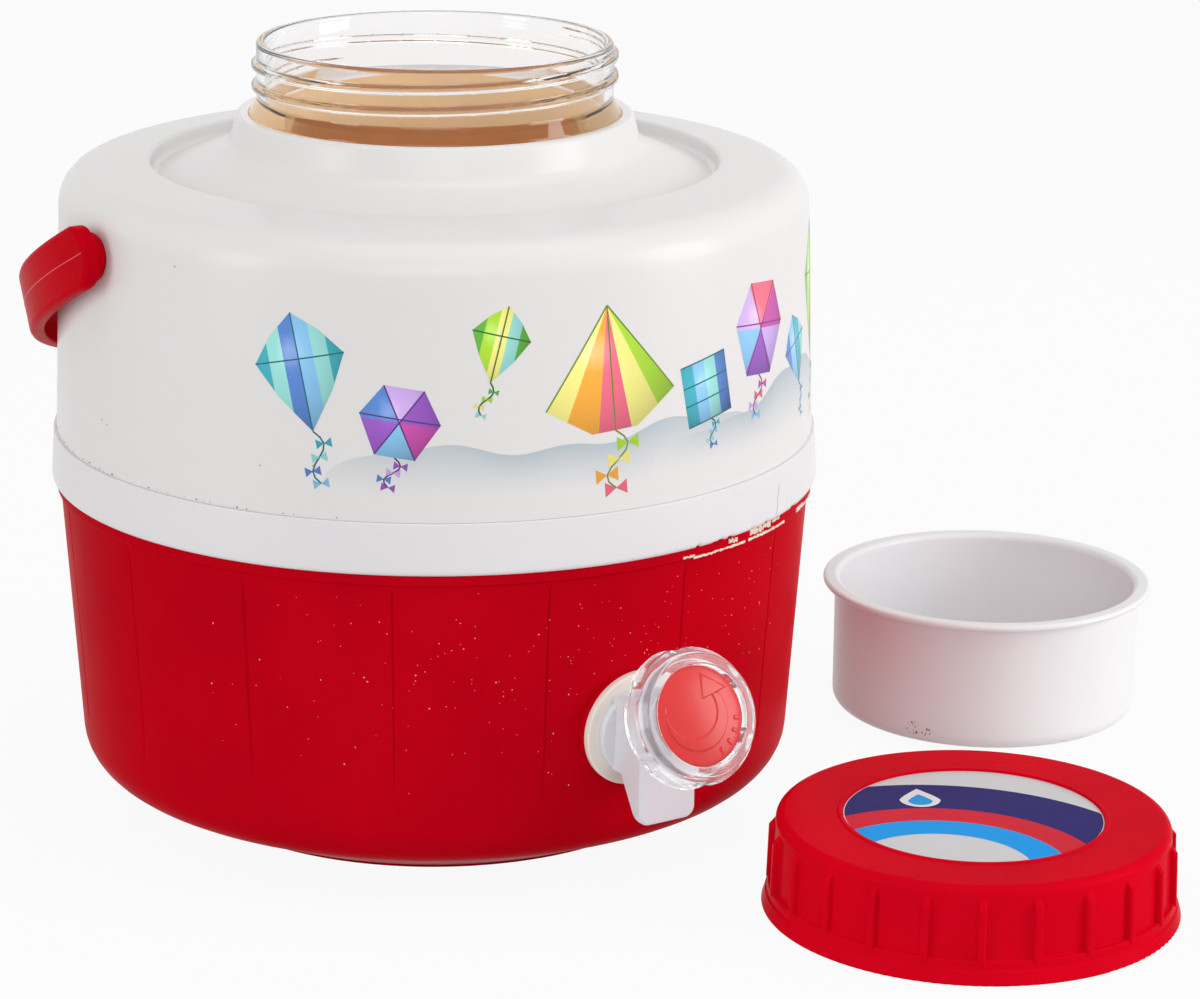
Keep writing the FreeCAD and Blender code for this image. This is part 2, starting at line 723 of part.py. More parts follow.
def make_stem():
    foot = SEAT_AT + SEAL_T
    web = insert_floor - KNOB_WEB
    groove = RING_THICK_R * 2
    shaft = spun([
        (0, foot),
        (stem_foot_r, foot, 0.3),
        (stem_foot_r, foot + STEM_FOOT, 0.3),
        (stem_r, foot + STEM_FOOT),
        (stem_r, ring_at - groove / 2 - 0.1),
        (stem_r - groove + 0.3, ring_at - groove / 2 - 0.1),
        (stem_r - groove + 0.3, ring_at + groove / 2 + 0.1),
        (stem_r, ring_at + groove / 2 + 0.1),
        (stem_r, web - RUN_GAP, 0.4),
        (STEM_NOSE_R, web - RUN_GAP),
        (STEM_NOSE_R, insert_floor - MOVE_GAP),
        (0, insert_floor - MOVE_GAP),
    ])
    screw_hole = Part.makeCylinder(SCREW_R + FIT_GAP, SCREW_LENGTH + 1.0,
                                   V(0, 0, insert_floor - SCREW_LENGTH - 1.0))
    return on_valve(single(shaft.cut(screw_hole)))


def make_ring():
    middle = BARREL_BORE - RING_THICK_R - 0.05
    ring = Part.makeTorus(middle, RING_THICK_R - 0.05, V(0, 0, ring_at))
    return on_valve(ring)


def make_knob():
    bore = barrel_r + RUN_GAP
    sleeve = bore + KNOB_SLEEVE
    web = insert_floor - KNOB_WEB
    solid = spun([
        (0, knob_back),
        (KNOB_R, knob_back, 1.0),
        (KNOB_R - 0.5, knob_front - KNOB_SHOULDER, 2.0),
        (knob_lip_r, knob_front, 0.7),
        (insert_r + 0.4, knob_front, 0.4),
        (insert_r + FIT_GAP, insert_floor),
        (0, insert_floor),
    ])
    for i in range(KNOB_FLUTES):
        angle = math.radians(360 * (i + 0.5) / KNOB_FLUTES)
        away = KNOB_R + FLUTE_R - FLUTE_DEPTH
        centre = V(away * math.cos(angle), away * math.sin(angle), knob_back - 1)
        solid = solid.cut(Part.makeCylinder(FLUTE_R, knob_front, centre))
    ditch = spun([
        (sleeve, knob_back),
        (KNOB_R - FLUTE_DEPTH - KNOB_WALL, knob_back),
        (KNOB_R - FLUTE_DEPTH - KNOB_WALL - 0.6, web, 1.0),
        (sleeve, web, 0.6),
    ])
    solid = solid.cut(ditch)
    solid = solid.cut(Part.makeCylinder(bore, web - knob_back, V(0, 0, knob_back)))
    solid = solid.cut(Part.makeCylinder(STEM_NOSE_R + RUN_GAP, KNOB_WEB, V(0, 0, web)))
    return on_valve(single(solid))


def make_screw():
    head = Part.makeCylinder(screw_head_r, SCREW_HEAD, V(0, 0, insert_floor))
    head = head.makeFillet(0.6, [head.Edges[0]])
    shank = Part.makeCylinder(SCREW_R, SCREW_LENGTH + SCREW_HEAD / 2,
                              V(0, 0, insert_floor - SCREW_LENGTH))
    cross = Part.makeBox(4.0, 0.9, 1.0, V(-2.0, -0.45, insert_floor + SCREW_HEAD - 0.9))
    other = Part.makeBox(0.9, 4.0, 1.0, V(-0.45, -2.0, insert_floor + SCREW_HEAD - 0.9))
    body = head.fuse(shank).cut(cross).cut(other)
    return on_valve(single(body))


def make_insert():
    crown = insert_edge + INSERT_DOME
    hollow = insert_edge + 0.5
    profile = [
        (0, hollow),
        (screw_head_r + 1.2, hollow, 0.3),
        (screw_head_r + 1.2, insert_floor),
        (insert_r, insert_floor),
        (insert_r, insert_edge, 0.3),
        (insert_r * 0.6, crown - 0.45, 12.0),
        (0, crown),
    ]
    return on_valve(spun(profile))


def make_cap_shell():
    top_r = cap_wall_top_r
    body = spun([
        (0, 0),
        (cap_hem_r, 0, 0.6),
        (cap_step_r + 0.5, CAP_HEM, 0.5),
        (cap_step_r, CAP_HEM + 0.4, 0.3),
        (cap_step_r - 0.2, cap_step, 0.7),
        (cap_wall_low_r, cap_step, 0.5),
        (top_r, CAP_H, CAP_ROUND),
        (label_rim_r, CAP_H, 0.3),
        (label_rim_r - 0.3, CAP_H + LABEL_RIM, 0.15),
        (LABEL_R + 0.3, CAP_H + LABEL_RIM, 0.15),
        (LABEL_R + FIT_GAP, CAP_H - LABEL_SUNK),
        (0, CAP_H - LABEL_SUNK),
    ])
    rib_r = cap_wall_low_r + RIB_OUT
    side = [
        V(cap_bore + 1.0, 0, cap_step - 1.0),
        V(rib_r, 0, cap_step - 1.0),
        V(rib_r - 0.5, 0, rib_top - 2.4),
        V(cap_wall_top_r, 0, rib_top),
        V(cap_bore + 1.0, 0, rib_top),
    ]
    blade = Part.Face(Part.makePolygon(side + [side[0]])).extrude(V(0, RIB_W, 0))
    blade.translate(V(0, -RIB_W / 2, 0))
    crests = []
    for edge in blade.Edges:
        box = edge.BoundBox
        along = box.YLength < 0.01 and box.Center.x > cap_wall_top_r
        if along and box.ZLength > 1.0:
            crests.append(edge)
    blade = blade.makeFillet(0.7, crests)
    ribs = []
    for i in range(CAP_RIBS):
        rib = blade.copy()
        rib.rotate(TOP, Z_AXIS, 360 * i / CAP_RIBS)
        ribs.append(rib)
    body = body.fuse(ribs)
    ledge = cap_plate_low + CAP_PLATE_T
    ceiling = CAP_H - LABEL_SUNK - CAP_TOP_T
    room = spun([
        (0, 0),
        (cap_bore + 0.8, 0),
        (cap_bore, 1.0),
        (cap_bore, ledge, 0.3),
        (cap_ledge_r, ledge),
        (cap_ledge_r - 0.4, ceiling, 1.0),
        (0, ceiling),
    ])
    body = body.cut(room)
    return at_cap(single(body))


def at_cap(shape):
    shape.translate(V(cap_x, cap_y, 0))
    return shape


def make_cap_foam():
    low = cap_plate_low + CAP_PLATE_T
    high = CAP_H - LABEL_SUNK - CAP_TOP_T
    disc = spun([
        (0, low),
        (cap_ledge_r - FIT_GAP, low),
        (cap_ledge_r - 0.5, high, 1.0),
        (0, high),
    ])
    return at_cap(disc)


def make_cap_plate():
    low = cap_plate_low
    high = low + CAP_PLATE_T
    ring = SEAL_RING_T - 0.9
    plate = spun([
        (0, low),
        (seal_ring_in - FIT_GAP, low),
        (seal_ring_in - FIT_GAP, low + ring),
        (seal_ring_out + FIT_GAP, low + ring),
        (seal_ring_out + FIT_GAP, low),
        (cap_bore - FIT_GAP, low, 0.3),
        (cap_bore - FIT_GAP, high),
        (0, high),
    ])
    hub = Part.makeCylinder(9.0, 0.6, V(0, 0, low - 0.6))
    return at_cap(single(plate.fuse(hub)))


def make_cap_gasket():
    high = cap_plate_low + SEAL_RING_T - 0.9
    low = high - SEAL_RING_T
    return at_cap(spun([
        (seal_ring_in, low, 0.5),
        (seal_ring_out, low, 0.5),
        (seal_ring_out, high),
        (seal_ring_in, high),
    ]))


def make_label():
    return at_cap(Part.makeCylinder(LABEL_R, LABEL_T, V(0, 0, CAP_H - LABEL_SUNK)))


def make_cup():
    rim_low = CUP_H - CUP_RIM_T
    cup = spun([
        (0, CUP_BOTTOM_RECESS),
        (cup_foot_r - CUP_HEEL, CUP_BOTTOM_RECESS, 0.6),
        (cup_foot_r - CUP_HEEL + 1.0, 0, 0.4),
        (cup_r - 0.1, 0, CUP_HEEL),
        (cup_r, rim_low, 0.6),
        (cup_rim_r, rim_low + 0.3, 0.9),
        (cup_rim_r, CUP_H, 1.1),
        (cup_r - CUP_WALL, CUP_H, 1.8),
        (cup_r - CUP_WALL, CUP_WALL + CUP_BOTTOM_RECESS, CUP_HEEL - CUP_WALL),
        (0, CUP_WALL + CUP_BOTTOM_RECESS),
    ])
    cup.translate(V(cup_x, cup_y, 0))
    return cup


def make_foam():
    room = Part.Face(rounded_wire(cavity)).makeOffset2D(-FIT_GAP)
    vessel = Part.Face(rounded_wire(vessel_outside)).makeOffset2D(FIT_GAP)
    foam = spun_face(room.cut(vessel))
    foam = foam.common(Part.makeCylinder(2 * band_low_r, collar_top - WALL - FIT_GAP))
    for side in (-1, 1):
        start = V(side * (socket_in - FIT_GAP), 0, pivot_z)
        foam = foam.cut(rod(start, V(side, 0, 0), handle_half, socket_r + FIT_GAP))
    shank = on_mount(Part.makeCylinder(SHANK_R + FIT_GAP, 3 * gasket_r), -3 * gasket_r + 5)
    return single(foam.cut(shank))


upper_shell = make_upper_shell()
lower_shell = make_lower_shell()
vessel, vessel_pad = make_vessel()
pieces = {
    "upper_shell": upper_shell,
    "waist_band": make_waist_band(),
    "lower_shell": lower_shell,
    "foam_insulation": make_foam(),
    "foam_port_plug": make_plug(),
    "inner_vessel": vessel,
    "pivot_socket_left": make_socket(-1),
    "pivot_socket_right": make_socket(1),
    "handle": make_handle(),
    "tap_body": make_tap_body(),
    "tap_gasket": make_gasket(),
    "tap_inner_washer": make_inner_washer(),
    "tap_nut": make_nut(),
    "tap_stem": make_stem(),
    "stem_o_ring": make_ring(),
    "valve_seal": make_seal(),
    "tap_knob": make_knob(),
    "knob_screw": make_screw(),
    "knob_insert": make_insert(),
    "cap_shell": make_cap_shell(),
    "cap_foam_disc": make_cap_foam(),
    "cap_inner_plate": make_cap_plate(),
    "cap_gasket": make_cap_gasket(),
    "cap_label": make_label(),
    "cup": make_cup(),
}

for name, shape in pieces.items():
    box = shape.BoundBox
    print(name, shape.isValid(), len(shape.Solids), round(shape.Volume),
          [round(v, 1) for v in (box.XMin, box.XMax, box.YMin, box.YMax, box.ZMin, box.ZMax)])
    shape.exportStep("parts/" + name + ".step")
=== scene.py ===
import bmesh
import bpy
import math
import random
from mathutils import Matrix, Vector, geometry


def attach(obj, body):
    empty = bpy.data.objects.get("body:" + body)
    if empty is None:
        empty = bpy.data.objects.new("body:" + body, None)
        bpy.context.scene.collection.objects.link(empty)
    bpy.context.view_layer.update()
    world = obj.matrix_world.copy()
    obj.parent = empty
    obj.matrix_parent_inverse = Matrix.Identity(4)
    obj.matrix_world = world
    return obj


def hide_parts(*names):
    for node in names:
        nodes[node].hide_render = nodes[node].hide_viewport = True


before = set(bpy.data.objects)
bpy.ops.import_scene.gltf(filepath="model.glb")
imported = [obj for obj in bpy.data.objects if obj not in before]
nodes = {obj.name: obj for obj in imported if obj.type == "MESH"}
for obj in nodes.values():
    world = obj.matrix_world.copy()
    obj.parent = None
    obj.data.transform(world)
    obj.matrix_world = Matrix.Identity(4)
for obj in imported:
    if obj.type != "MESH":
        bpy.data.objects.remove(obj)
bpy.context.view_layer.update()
MM = 0.001

# The photograph's camera. Positions are in millimetres in the row frame.
PHOTO_W = 1200
FOCAL_PX = 4000
SENSOR_MM = 36.0
CAM_DISTANCE = 1185.6       # level distance from the jug's axis
CAM_HEIGHT = 438.4
CAM_ROUND = -30.62          # degrees round the axis from the tap, to the photograph's left
CAM_PITCH = 16.29
CAM_YAW = 2.45
CAM_ROLL = 0.63

# Shapes shared with the CAD, in millimetres
SHELL_LOW = 118.7
SHELL_LOW_R = 115.2
SHELL_EDGE = 118.36         # the skin comes down nearer to the band than the solid
SHOULDER_Z = 196.9
SHOULDER_R = 112.5
HEEL_R = 108.7
HEEL_Z = 15.3
TUB_TOP_R = 114.4
TUB_TOP_Z = 99.4
LIP_R = 115.5
LIP_LOW = 100.1
BAND_LOW = 103.0
BAND_TOP = 118.3
BAND_LOW_R = 117.0
BAND_TOP_R = 116.1
SEAM_R = 113.5
NECK_R = 53.4
NECK_BORE = 50.9
NECK_TOP = 234.9
TAP_Z = 52.0
SHANK_HOLE_R = 8.3
PAD_R = 17.2
PIVOT_Z = 181.5
STUB_HOLE_R = 5.87
PLUG_Y = 46.0
PLUG_HOLE_R = 9.05
HANDLE_HALF = 121.4
HANDLE_REACH = 134.63
HANDLE_POWER = 2.16
HANDLE_SLOPE = 24.49
VALVE = Vector((0.0, -114.38, 51.784))
VALVE_TILT = 22.75
INSERT_R = 14.3
INSERT_EDGE = 33.6
INSERT_FLOOR = 32.4
CAP = Vector((79.22, -170.95, 0.0))
CUP = Vector((194.0, -30.0, 0.0))
CUP_R = 49.9
CUP_HEEL = 4.6
VESSEL_R = 91.5             # at its floor
VESSEL_TOP_R = 96.0         # at its shoulder
VESSEL_FLOOR = 19.0
VESSEL_WALL = 2.2
INNER_PAD_R = 15.0          # the flat that the tap's inner washer sits on
INNER_PAD_T = 2.4
LABEL_Z = 27.1
LABEL_T = 0.3

# Details that only the dressing has
THREAD_LEAD = 6.4
THREAD_H = 1.5
THREAD_HALF = 1.4           # half its width at the root
THREAD_FIRST = -150.0       # degrees round from the camera's side
THREAD_LAST = 495.0
THREAD_Z = 221.3            # height of its middle at -90 degrees
THREAD_LOW = 217.5          # it stays between these heights
THREAD_HIGH = 233.6
THREAD_ROW = 0.2            # spacing of the mesh's rows near it
PANELS = 16                 # the tub's panels, with a groove between each two
GROOVE_FIRST = -14.3        # degrees to the first groove
GROOVE_DEPTH = 0.5
GROOVE_HALF = 0.5           # half its width
GROOVE_LOW = 30.0
GROOVE_HIGH = 99.0
INK_LIFT = 0.008            # height of the lowest ink above its surface
PRINT_R = 114.0             # radius at which the print's flat drawing is true to length
# strength of the painted light that the foam gives off
FOAM_PAINTED_LIGHT = 0.27
WORLD_LEVEL = 0.46
FLOOR_WHITE = 0.93          # share of plain white in the floor; the rest keeps the shadows

# Turns what the camera sees as right, away and up into the row frame
camera_turn = Matrix.Rotation(math.radians(CAM_ROUND), 3, "Z")


def tub_r(z):
    return HEEL_R + (z - HEEL_Z) / (TUB_TOP_Z - HEEL_Z) * (TUB_TOP_R - HEEL_R)


def shell_r(z):
    share = (z - SHELL_LOW) / (SHOULDER_Z - SHELL_LOW)
    return SHELL_LOW_R + share * (SHOULDER_R - SHELL_LOW_R)


def rounded(corners, arc_step=9.0):
    """Points of a profile whose corners are (r, z) or (r, z, rounding), arcs filled in."""
    count = len(corners)
    out = []
    for i in range(count):
        here = Vector(corners[i][:2])
        radius = corners[i][2] if len(corners[i]) > 2 else 0.0
        back = Vector(corners[i - 1][:2]) - here
        ahead = Vector(corners[(i + 1) % count][:2]) - here
        if radius <= 0 or back.length < 1e-9 or ahead.length < 1e-9:
            out.append(here)
            continue
        back.normalize()
        ahead.normalize()
        opening = back.angle(ahead)
        centre = here + (back + ahead).normalized() * (radius / math.sin(opening / 2))
        first = here + back * (radius / math.tan(opening / 2)) - centre
        turn = math.pi - opening
        if back.x * ahead.y - back.y * ahead.x > 0:
            turn = -turn
        steps = max(2, round(abs(math.degrees(turn)) / arc_step))
        for k in range(steps + 1):
            a = turn * k / steps
            out.append(centre + Vector((first.x * math.cos(a) - first.y * math.sin(a),
                                        first.x * math.sin(a) + first.y * math.cos(a))))
    return out


def refine(points, step, closed=True):
    """The same outline with no stretch longer than step."""
    out = []
    count = len(points)
    for i in range(count if closed else count - 1):
        a = points[i]
        b = points[(i + 1) % count]
        parts = max(1, math.ceil((b - a).length / step))
        for k in range(parts):
            out.append(a.lerp(b, k / parts))
    if not closed:
        out.append(points[-1])
    return out


def new_object(name, mesh):
    obj = bpy.data.objects.new(name, mesh)
    bpy.context.scene.collection.objects.link(obj)
    return obj


def smooth(obj, angle=35):
    mesh = obj.data
    mesh.polygons.foreach_set("use_smooth", [True] * len(mesh.polygons))
    mesh.set_sharp_from_angle(angle=math.radians(angle))
    return obj


def lathe(name, points, angles, shift=None, sharp=35):
    """A closed solid of revolution about Z from an outline of (r, z) points, in mm.
    shift(angle, r, z) gives what is added to the radius and to the height."""
    verts = []
    rings = []
    for p in points:
        if p[0] < 1e-6:
            verts.append((0, 0, p[1] * MM))
            rings.append([len(verts) - 1])
            continue
        ring = []
        for a in angles:
            dr, dz = shift(a, p[0], p[1]) if shift else (0.0, 0.0)
            r = p[0] + dr
            ring.append(len(verts))
            verts.append((r * math.sin(a) * MM, -r * math.cos(a) * MM, (p[1] + dz) * MM))
        rings.append(ring)
    faces = []
    count = len(angles)
    for i in range(len(rings)):
        low = rings[i]
        high = rings[(i + 1) % len(rings)]
        if len(low) == 1 and len(high) == 1:
            continue
        for k in range(count):
            n = (k + 1) % count
            if len(low) == 1:
                faces.append((low[0], high[n], high[k]))
            elif len(high) == 1:
                faces.append((low[k], low[n], high[0]))
            else:
                faces.append((low[k], low[n], high[n], high[k]))
    mesh = bpy.data.meshes.new(name)
    mesh.from_pydata(verts, [], faces)
    mesh.validate()
    obj = new_object(name, mesh)
    tidy = bmesh.new()
    tidy.from_mesh(mesh)
    bmesh.ops.recalc_face_normals(tidy, faces=tidy.faces)
    tidy.to_mesh(mesh)
    tidy.free()
    return smooth(obj, sharp)


# Materials

def node_tree(name):
    """A new material, its nodes and its Principled shader."""
    material = bpy.data.materials.new(name)
    material.use_nodes = True
    tree = material.node_tree
    shader = tree.nodes["Principled BSDF"]
    return material, tree, shader


def add(tree, kind, inputs=None, **settings):
    """A new node of that kind with its plain inputs and its settings."""
    node = tree.nodes.new(kind)
    for key, value in settings.items():
        setattr(node, key, value)
    for key, value in (inputs or {}).items():
        node.inputs[key].default_value = value
    return node


def noise(tree, coords, scale, detail=3.0, roughness=0.5, stretch=(1, 1, 1)):
    mapping = add(tree, "ShaderNodeMapping", {"Scale": stretch})
    tree.links.new(coords, mapping.inputs["Vector"])
    node = add(tree, "ShaderNodeTexNoise",
               {"Scale": scale, "Detail": detail, "Roughness": roughness})
    tree.links.new(mapping.outputs["Vector"], node.inputs["Vector"])
    return node.outputs["Fac"]


def ramp(tree, value, low, high, at=(0.0, 1.0)):
    """A colour ramp between two colours."""
    node = add(tree, "ShaderNodeValToRGB")
    node.color_ramp.elements[0].position = at[0]
    node.color_ramp.elements[1].position = at[1]
    node.color_ramp.elements[0].color = (*low, 1)
    node.color_ramp.elements[1].color = (*high, 1)
    tree.links.new(value, node.inputs["Fac"])
    return node.outputs["Color"]


def spread(tree, value, low, high, from_low=0.3, from_high=0.7):
    """A noise's value brought to the range from low to high."""
    node = add(tree, "ShaderNodeMapRange", {"From Min": from_low, "From Max": from_high,
                                            "To Min": low, "To Max": high})
    tree.links.new(value, node.inputs["Value"])
    return node.outputs["Result"]


def bump(tree, shader, height, strength, distance):
    node = add(tree, "ShaderNodeBump", {"Strength": strength, "Distance": distance})
    tree.links.new(height, node.inputs["Height"])
    tree.links.new(node.outputs["Normal"], shader.inputs["Normal"])
    return node


def shade(colour, amount):
    return tuple(min(1.0, c * amount) for c in colour)


def plastic(name, colour, rough=0.3, vary=0.05, grain=420.0, grain_depth=0.00004,
            specular=0.4, sub=0.0, vertex_ink=False, uneven=0.09):
    """Moulded plastic: colour mottled by vary, gloss that differs by uneven, and fine orange
    peel of the scale grain and a depth in metres. sub is the share of light that sinks in."""
    material, tree, shader = node_tree(name)
    coords = add(tree, "ShaderNodeTexCoord").outputs["Object"]
    cloud = noise(tree, coords, 22.0, 2.0, 0.5)
    tint = ramp(tree, cloud, shade(colour, 1 - vary), shade(colour, 1 + vary), (0.35, 0.65))
    if vertex_ink:
        paint = add(tree, "ShaderNodeVertexColor", layer_name="ink")
        mix = add(tree, "ShaderNodeMix", data_type="RGBA", blend_type="MULTIPLY")
        mix.inputs["Factor"].default_value = 1.0
        tree.links.new(paint.outputs["Color"], mix.inputs["A"])
        tree.links.new(tint, mix.inputs["B"])
        tint = mix.outputs["Result"]
    tree.links.new(tint, shader.inputs["Base Color"])
    smear = noise(tree, coords, 60.0, 3.0, 0.5)
    gloss = spread(tree, smear, rough * (1 - uneven), rough * (1 + uneven))
    tree.links.new(gloss, shader.inputs["Roughness"])
    peel = noise(tree, coords, grain, 2.0, 0.5)
    bump(tree, shader, peel, 0.35, grain_depth)
    shader.inputs["IOR"].default_value = 1.49
    shader.inputs["Specular IOR Level"].default_value = specular
    if sub > 0:
        shader.inputs["Subsurface Weight"].default_value = sub
        shader.inputs["Subsurface Radius"].default_value = (0.004, 0.003, 0.003)
        shader.inputs["Subsurface Scale"].default_value = 1.0
    return material


def clear(name, colour, rough, ripple, transmission=1.0):
    """Clear moulded plastic with slight flow ripples."""
    material, tree, shader = node_tree(name)
    coords = add(tree, "ShaderNodeTexCoord").outputs["Object"]
    tree.links.new(ramp(tree, noise(tree, coords, 35.0), shade(colour, 0.97), colour, (0.3, 0.7)),
                   shader.inputs["Base Color"])
    shader.inputs["Transmission Weight"].default_value = transmission
    shader.inputs["IOR"].default_value = 1.49
    tree.links.new(spread(tree, noise(tree, coords, 90.0, 4.0, 0.6), rough * 0.5, rough * 1.8),
                   shader.inputs["Roughness"])
    bump(tree, shader, noise(tree, coords, 55.0, 2.0, 0.4), 0.4, ripple)
    # Lamps shine through it on what it covers, as through the real plastic
    open_way = add(tree, "ShaderNodeBsdfTransparent", {"Color": (*shade(colour, 0.9), 1)})
    path = add(tree, "ShaderNodeLightPath")
    mix = add(tree, "ShaderNodeMixShader")
    tree.links.new(path.outputs["Is Shadow Ray"], mix.inputs[0])
    tree.links.new(shader.outputs[0], mix.inputs[1])
    tree.links.new(open_way.outputs[0], mix.inputs[2])
    tree.links.new(mix.outputs[0], tree.nodes["Material Output"].inputs["Surface"])
    return material


def pale_plastic(name, colour, rough=0.26, vertex_ink=False):
    """Pale glossy plastic, whose colour and gloss are almost even."""
    return plastic(name, colour, rough, 0.004, 90, 0.00001, 0.3, vertex_ink=vertex_ink,
                   uneven=0.01)


WHITE = (0.79, 0.775, 0.77)

mat_shell = pale_plastic("white_shell", WHITE)
mat_band = pale_plastic("white_band", (0.785, 0.77, 0.785))
mat_cup = pale_plastic("white_cup", (0.86, 0.85, 0.865), 0.28)
# The pigment is so deep that the reds stay clean only with little mirror-like reflection
mat_tub = plastic("red_tub", (0.53, 0.0006, 0.009), 0.36, 0.06, 600, specular=0.005)
mat_handle = plastic("red_handle", (0.55, 0.0010, 0.009), 0.26, 0.05, 350, specular=0.004)
# The bead's red is paler than the handle's: painted highlight, so that the fine ridge reads lighter
mat_bead_painted_highlight = plastic("red_parting_bead_highlight", (0.74, 0.10, 0.10), 0.3, 0.05, 350, specular=0.2)
mat_cap = plastic("red_cap", (0.66, 0.0012, 0.013), 0.26, 0.06, 450, specular=0.004)
mat_insert = plastic("red_insert", (0.70, 0.03, 0.028), 0.30, 0.04, 900, specular=0.45)
mat_clear = clear("clear_vessel", (0.985, 0.98, 0.985), 0.02, 0.00012)
mat_knob = clear("clear_knob", (0.95, 0.955, 0.975), 0.07, 0.0003, 0.93)
mat_foam = plastic("amber_foam", (0.87, 0.40, 0.09), 0.5, 0.12, 250, 0.0006, 0.2)
mat_pale_foam = plastic("pale_foam", (0.70, 0.48, 0.25), 0.6, 0.08, 250, 0.0006, 0.2)
# Painted light: the foam glows a little by emission, which stands in for light that comes through
# the white shell
for foam, glow in ((mat_foam, (0.72, 0.25, 0.03)), (mat_pale_foam, (0.47, 0.30, 0.12))):
    foam_shader = foam.node_tree.nodes["Principled BSDF"]
    foam_shader.inputs["Emission Color"].default_value = (*glow, 1)
    foam_shader.inputs["Emission Strength"].default_value = FOAM_PAINTED_LIGHT
mat_seal = plastic("ivory_seal", (0.86, 0.82, 0.74), 0.45, 0.03, 700)
mat_tap = plastic("white_tap", (0.74, 0.75, 0.79), 0.3, 0.015, 500, sub=0.15)
mat_rubber = plastic("black_rubber", (0.03, 0.03, 0.03), 0.6, 0.2, 800)
mat_liner = plastic("white_liner", (0.78, 0.78, 0.78), 0.35, 0.02, 500)
mat_silver = plastic("silver_label", (0.60, 0.61, 0.62), 0.32, 0.02, 900)
mat_ink = pale_plastic("printed_ink", (1.0, 1.0, 1.0), vertex_ink=True)
mat_matt_ink = plastic("matt_ink", (1.0, 1.0, 1.0), 0.3, 0.03, 500, specular=0.02,
                       vertex_ink=True)
mat_steel = plastic("steel", (0.5, 0.5, 0.5), 0.3, 0.05, 900)
mat_steel.node_tree.nodes["Principled BSDF"].inputs["Metallic"].default_value = 1.0

finishes = {
    "upper_shell": mat_shell,
    "waist_band": mat_band,
    "lower_shell": mat_tub,
    "foam_insulation": mat_foam,
    "foam_port_plug": mat_tub,
    "inner_vessel": mat_clear,
    "pivot_socket_left": mat_liner,
    "pivot_socket_right": mat_liner,
    "handle": mat_handle,
    "tap_body": mat_tap,
    "tap_gasket": mat_seal,
    "tap_inner_washer": mat_seal,
    "tap_nut": mat_tap,
    "tap_stem": mat_tap,
    "stem_o_ring": mat_rubber,
    "valve_seal": mat_rubber,
    "tap_knob": mat_knob,
    "knob_screw": mat_steel,
    "knob_insert": mat_insert,
    "cap_shell": mat_cap,
    "cap_foam_disc": mat_foam,
    "cap_inner_plate": mat_liner,
    "cap_gasket": mat_seal,
    "cap_label": mat_silver,
    "cup": mat_cup,
}
for node, material in finishes.items():
    mesh = nodes[node].data
    mesh.materials.clear()
    mesh.materials.append(material)


# Pieces that stand for CAD nodes

def dress(obj, body, slot, material, *stands_for):
    """Finish a piece: its material, the body that it rides on and the nodes that it replaces."""
    if material is not None:
        obj.data.materials.clear()
        obj.data.materials.append(material)
    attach(obj, body)
    if stands_for:
        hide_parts(*stands_for)
    return obj


def rod(start, direction, length, radius, columns=96):
    """A plain cylinder to cut or join with, in mm."""
    shape = bmesh.new()
    turn = Vector((0, 0, 1)).rotation_difference(Vector(direction)).to_matrix().to_4x4()
    middle = Vector(start) + Vector(direction).normalized() * (length / 2)
    place = Matrix.Translation(middle * MM) @ turn
    bmesh.ops.create_cone(shape, cap_ends=True, segments=columns, radius1=radius * MM,
                          radius2=radius * MM, depth=length * MM, matrix=place)
    mesh = bpy.data.meshes.new("tool")
    shape.to_mesh(mesh)
    shape.free()
    return new_object("tool", mesh)


def freeze(obj, angle=35):
    """Apply the piece's modifiers."""
    graph = bpy.context.evaluated_depsgraph_get()
    mesh = bpy.data.meshes.new_from_object(obj.evaluated_get(graph))
    obj.modifiers.clear()
    obj.data = mesh
    return smooth(obj, angle)


def combine(obj, tool, operation="DIFFERENCE"):
    """Cut or join with a tool, then drop the tool."""
    step = obj.modifiers.new("step", "BOOLEAN")
    step.operation = operation
    step.solver = "EXACT"
    step.object = tool
    freeze(obj)
    bpy.data.objects.remove(tool)
    return obj


tub_lean = math.atan((TUB_TOP_R - HEEL_R) / (TUB_TOP_Z - HEEL_Z))
mount_dir = Vector((0, -math.cos(tub_lean), -math.sin(tub_lean)))
mount_at = Vector((0, -tub_r(TAP_Z), TAP_Z))


def even(count):
    """That many even turns, in radians."""
    return [2 * math.pi * i / count for i in range(count)]


# The upper shell
upper = lathe("upper_shell_skin", refine(rounded([
    (SEAM_R, 110.8), (SEAM_R, SHELL_EDGE), (SHELL_LOW_R, SHELL_EDGE, 0.06),
    (SHOULDER_R, SHOULDER_Z, 11.0), (85.6, 199.7, 1.2), (84.4, 195.0, 1.5), (62.0, 203.2, 6.0),
    (59.4, 213.4, 1.4), (56.0, 213.4, 0.6), (56.0, 211.0), (57.0, 211.0), (59.6, 200.8, 3.6),
    (87.4, 192.6, 1.2), (88.0, 197.1, 0.8), (110.1, 194.5, 8.6), (112.8, 121.1),
    (111.1, SHELL_LOW), (111.1, 110.8)], 7.5), 6.0), even(384))
for side in (-1, 1):
    upper = combine(upper, rod((side * 100, 0, PIVOT_Z), (side, 0, 0), 20, STUB_HOLE_R))
dress(upper, "jug", "white_shell", mat_shell, "upper_shell")


# The band, with its lower edge nicked on one side
nick_rng = random.Random(5)
nicks = [(math.radians(nick_rng.uniform(9.0, 36.0)), math.radians(nick_rng.uniform(0.25, 0.9)),
          nick_rng.uniform(0.12, 0.4)) for _ in range(13)]


def band_shift(a, r, z):
    if z > BAND_LOW + 2.0 or r < SEAM_R + 0.6:
        return 0.0, 0.0
    lift = 0.0
    for middle, half, deep in nicks:
        away = abs(a - middle) / half
        if away < 1:
            lift = max(lift, deep * (1 - away ** 3))
    return -lift * 0.5, lift


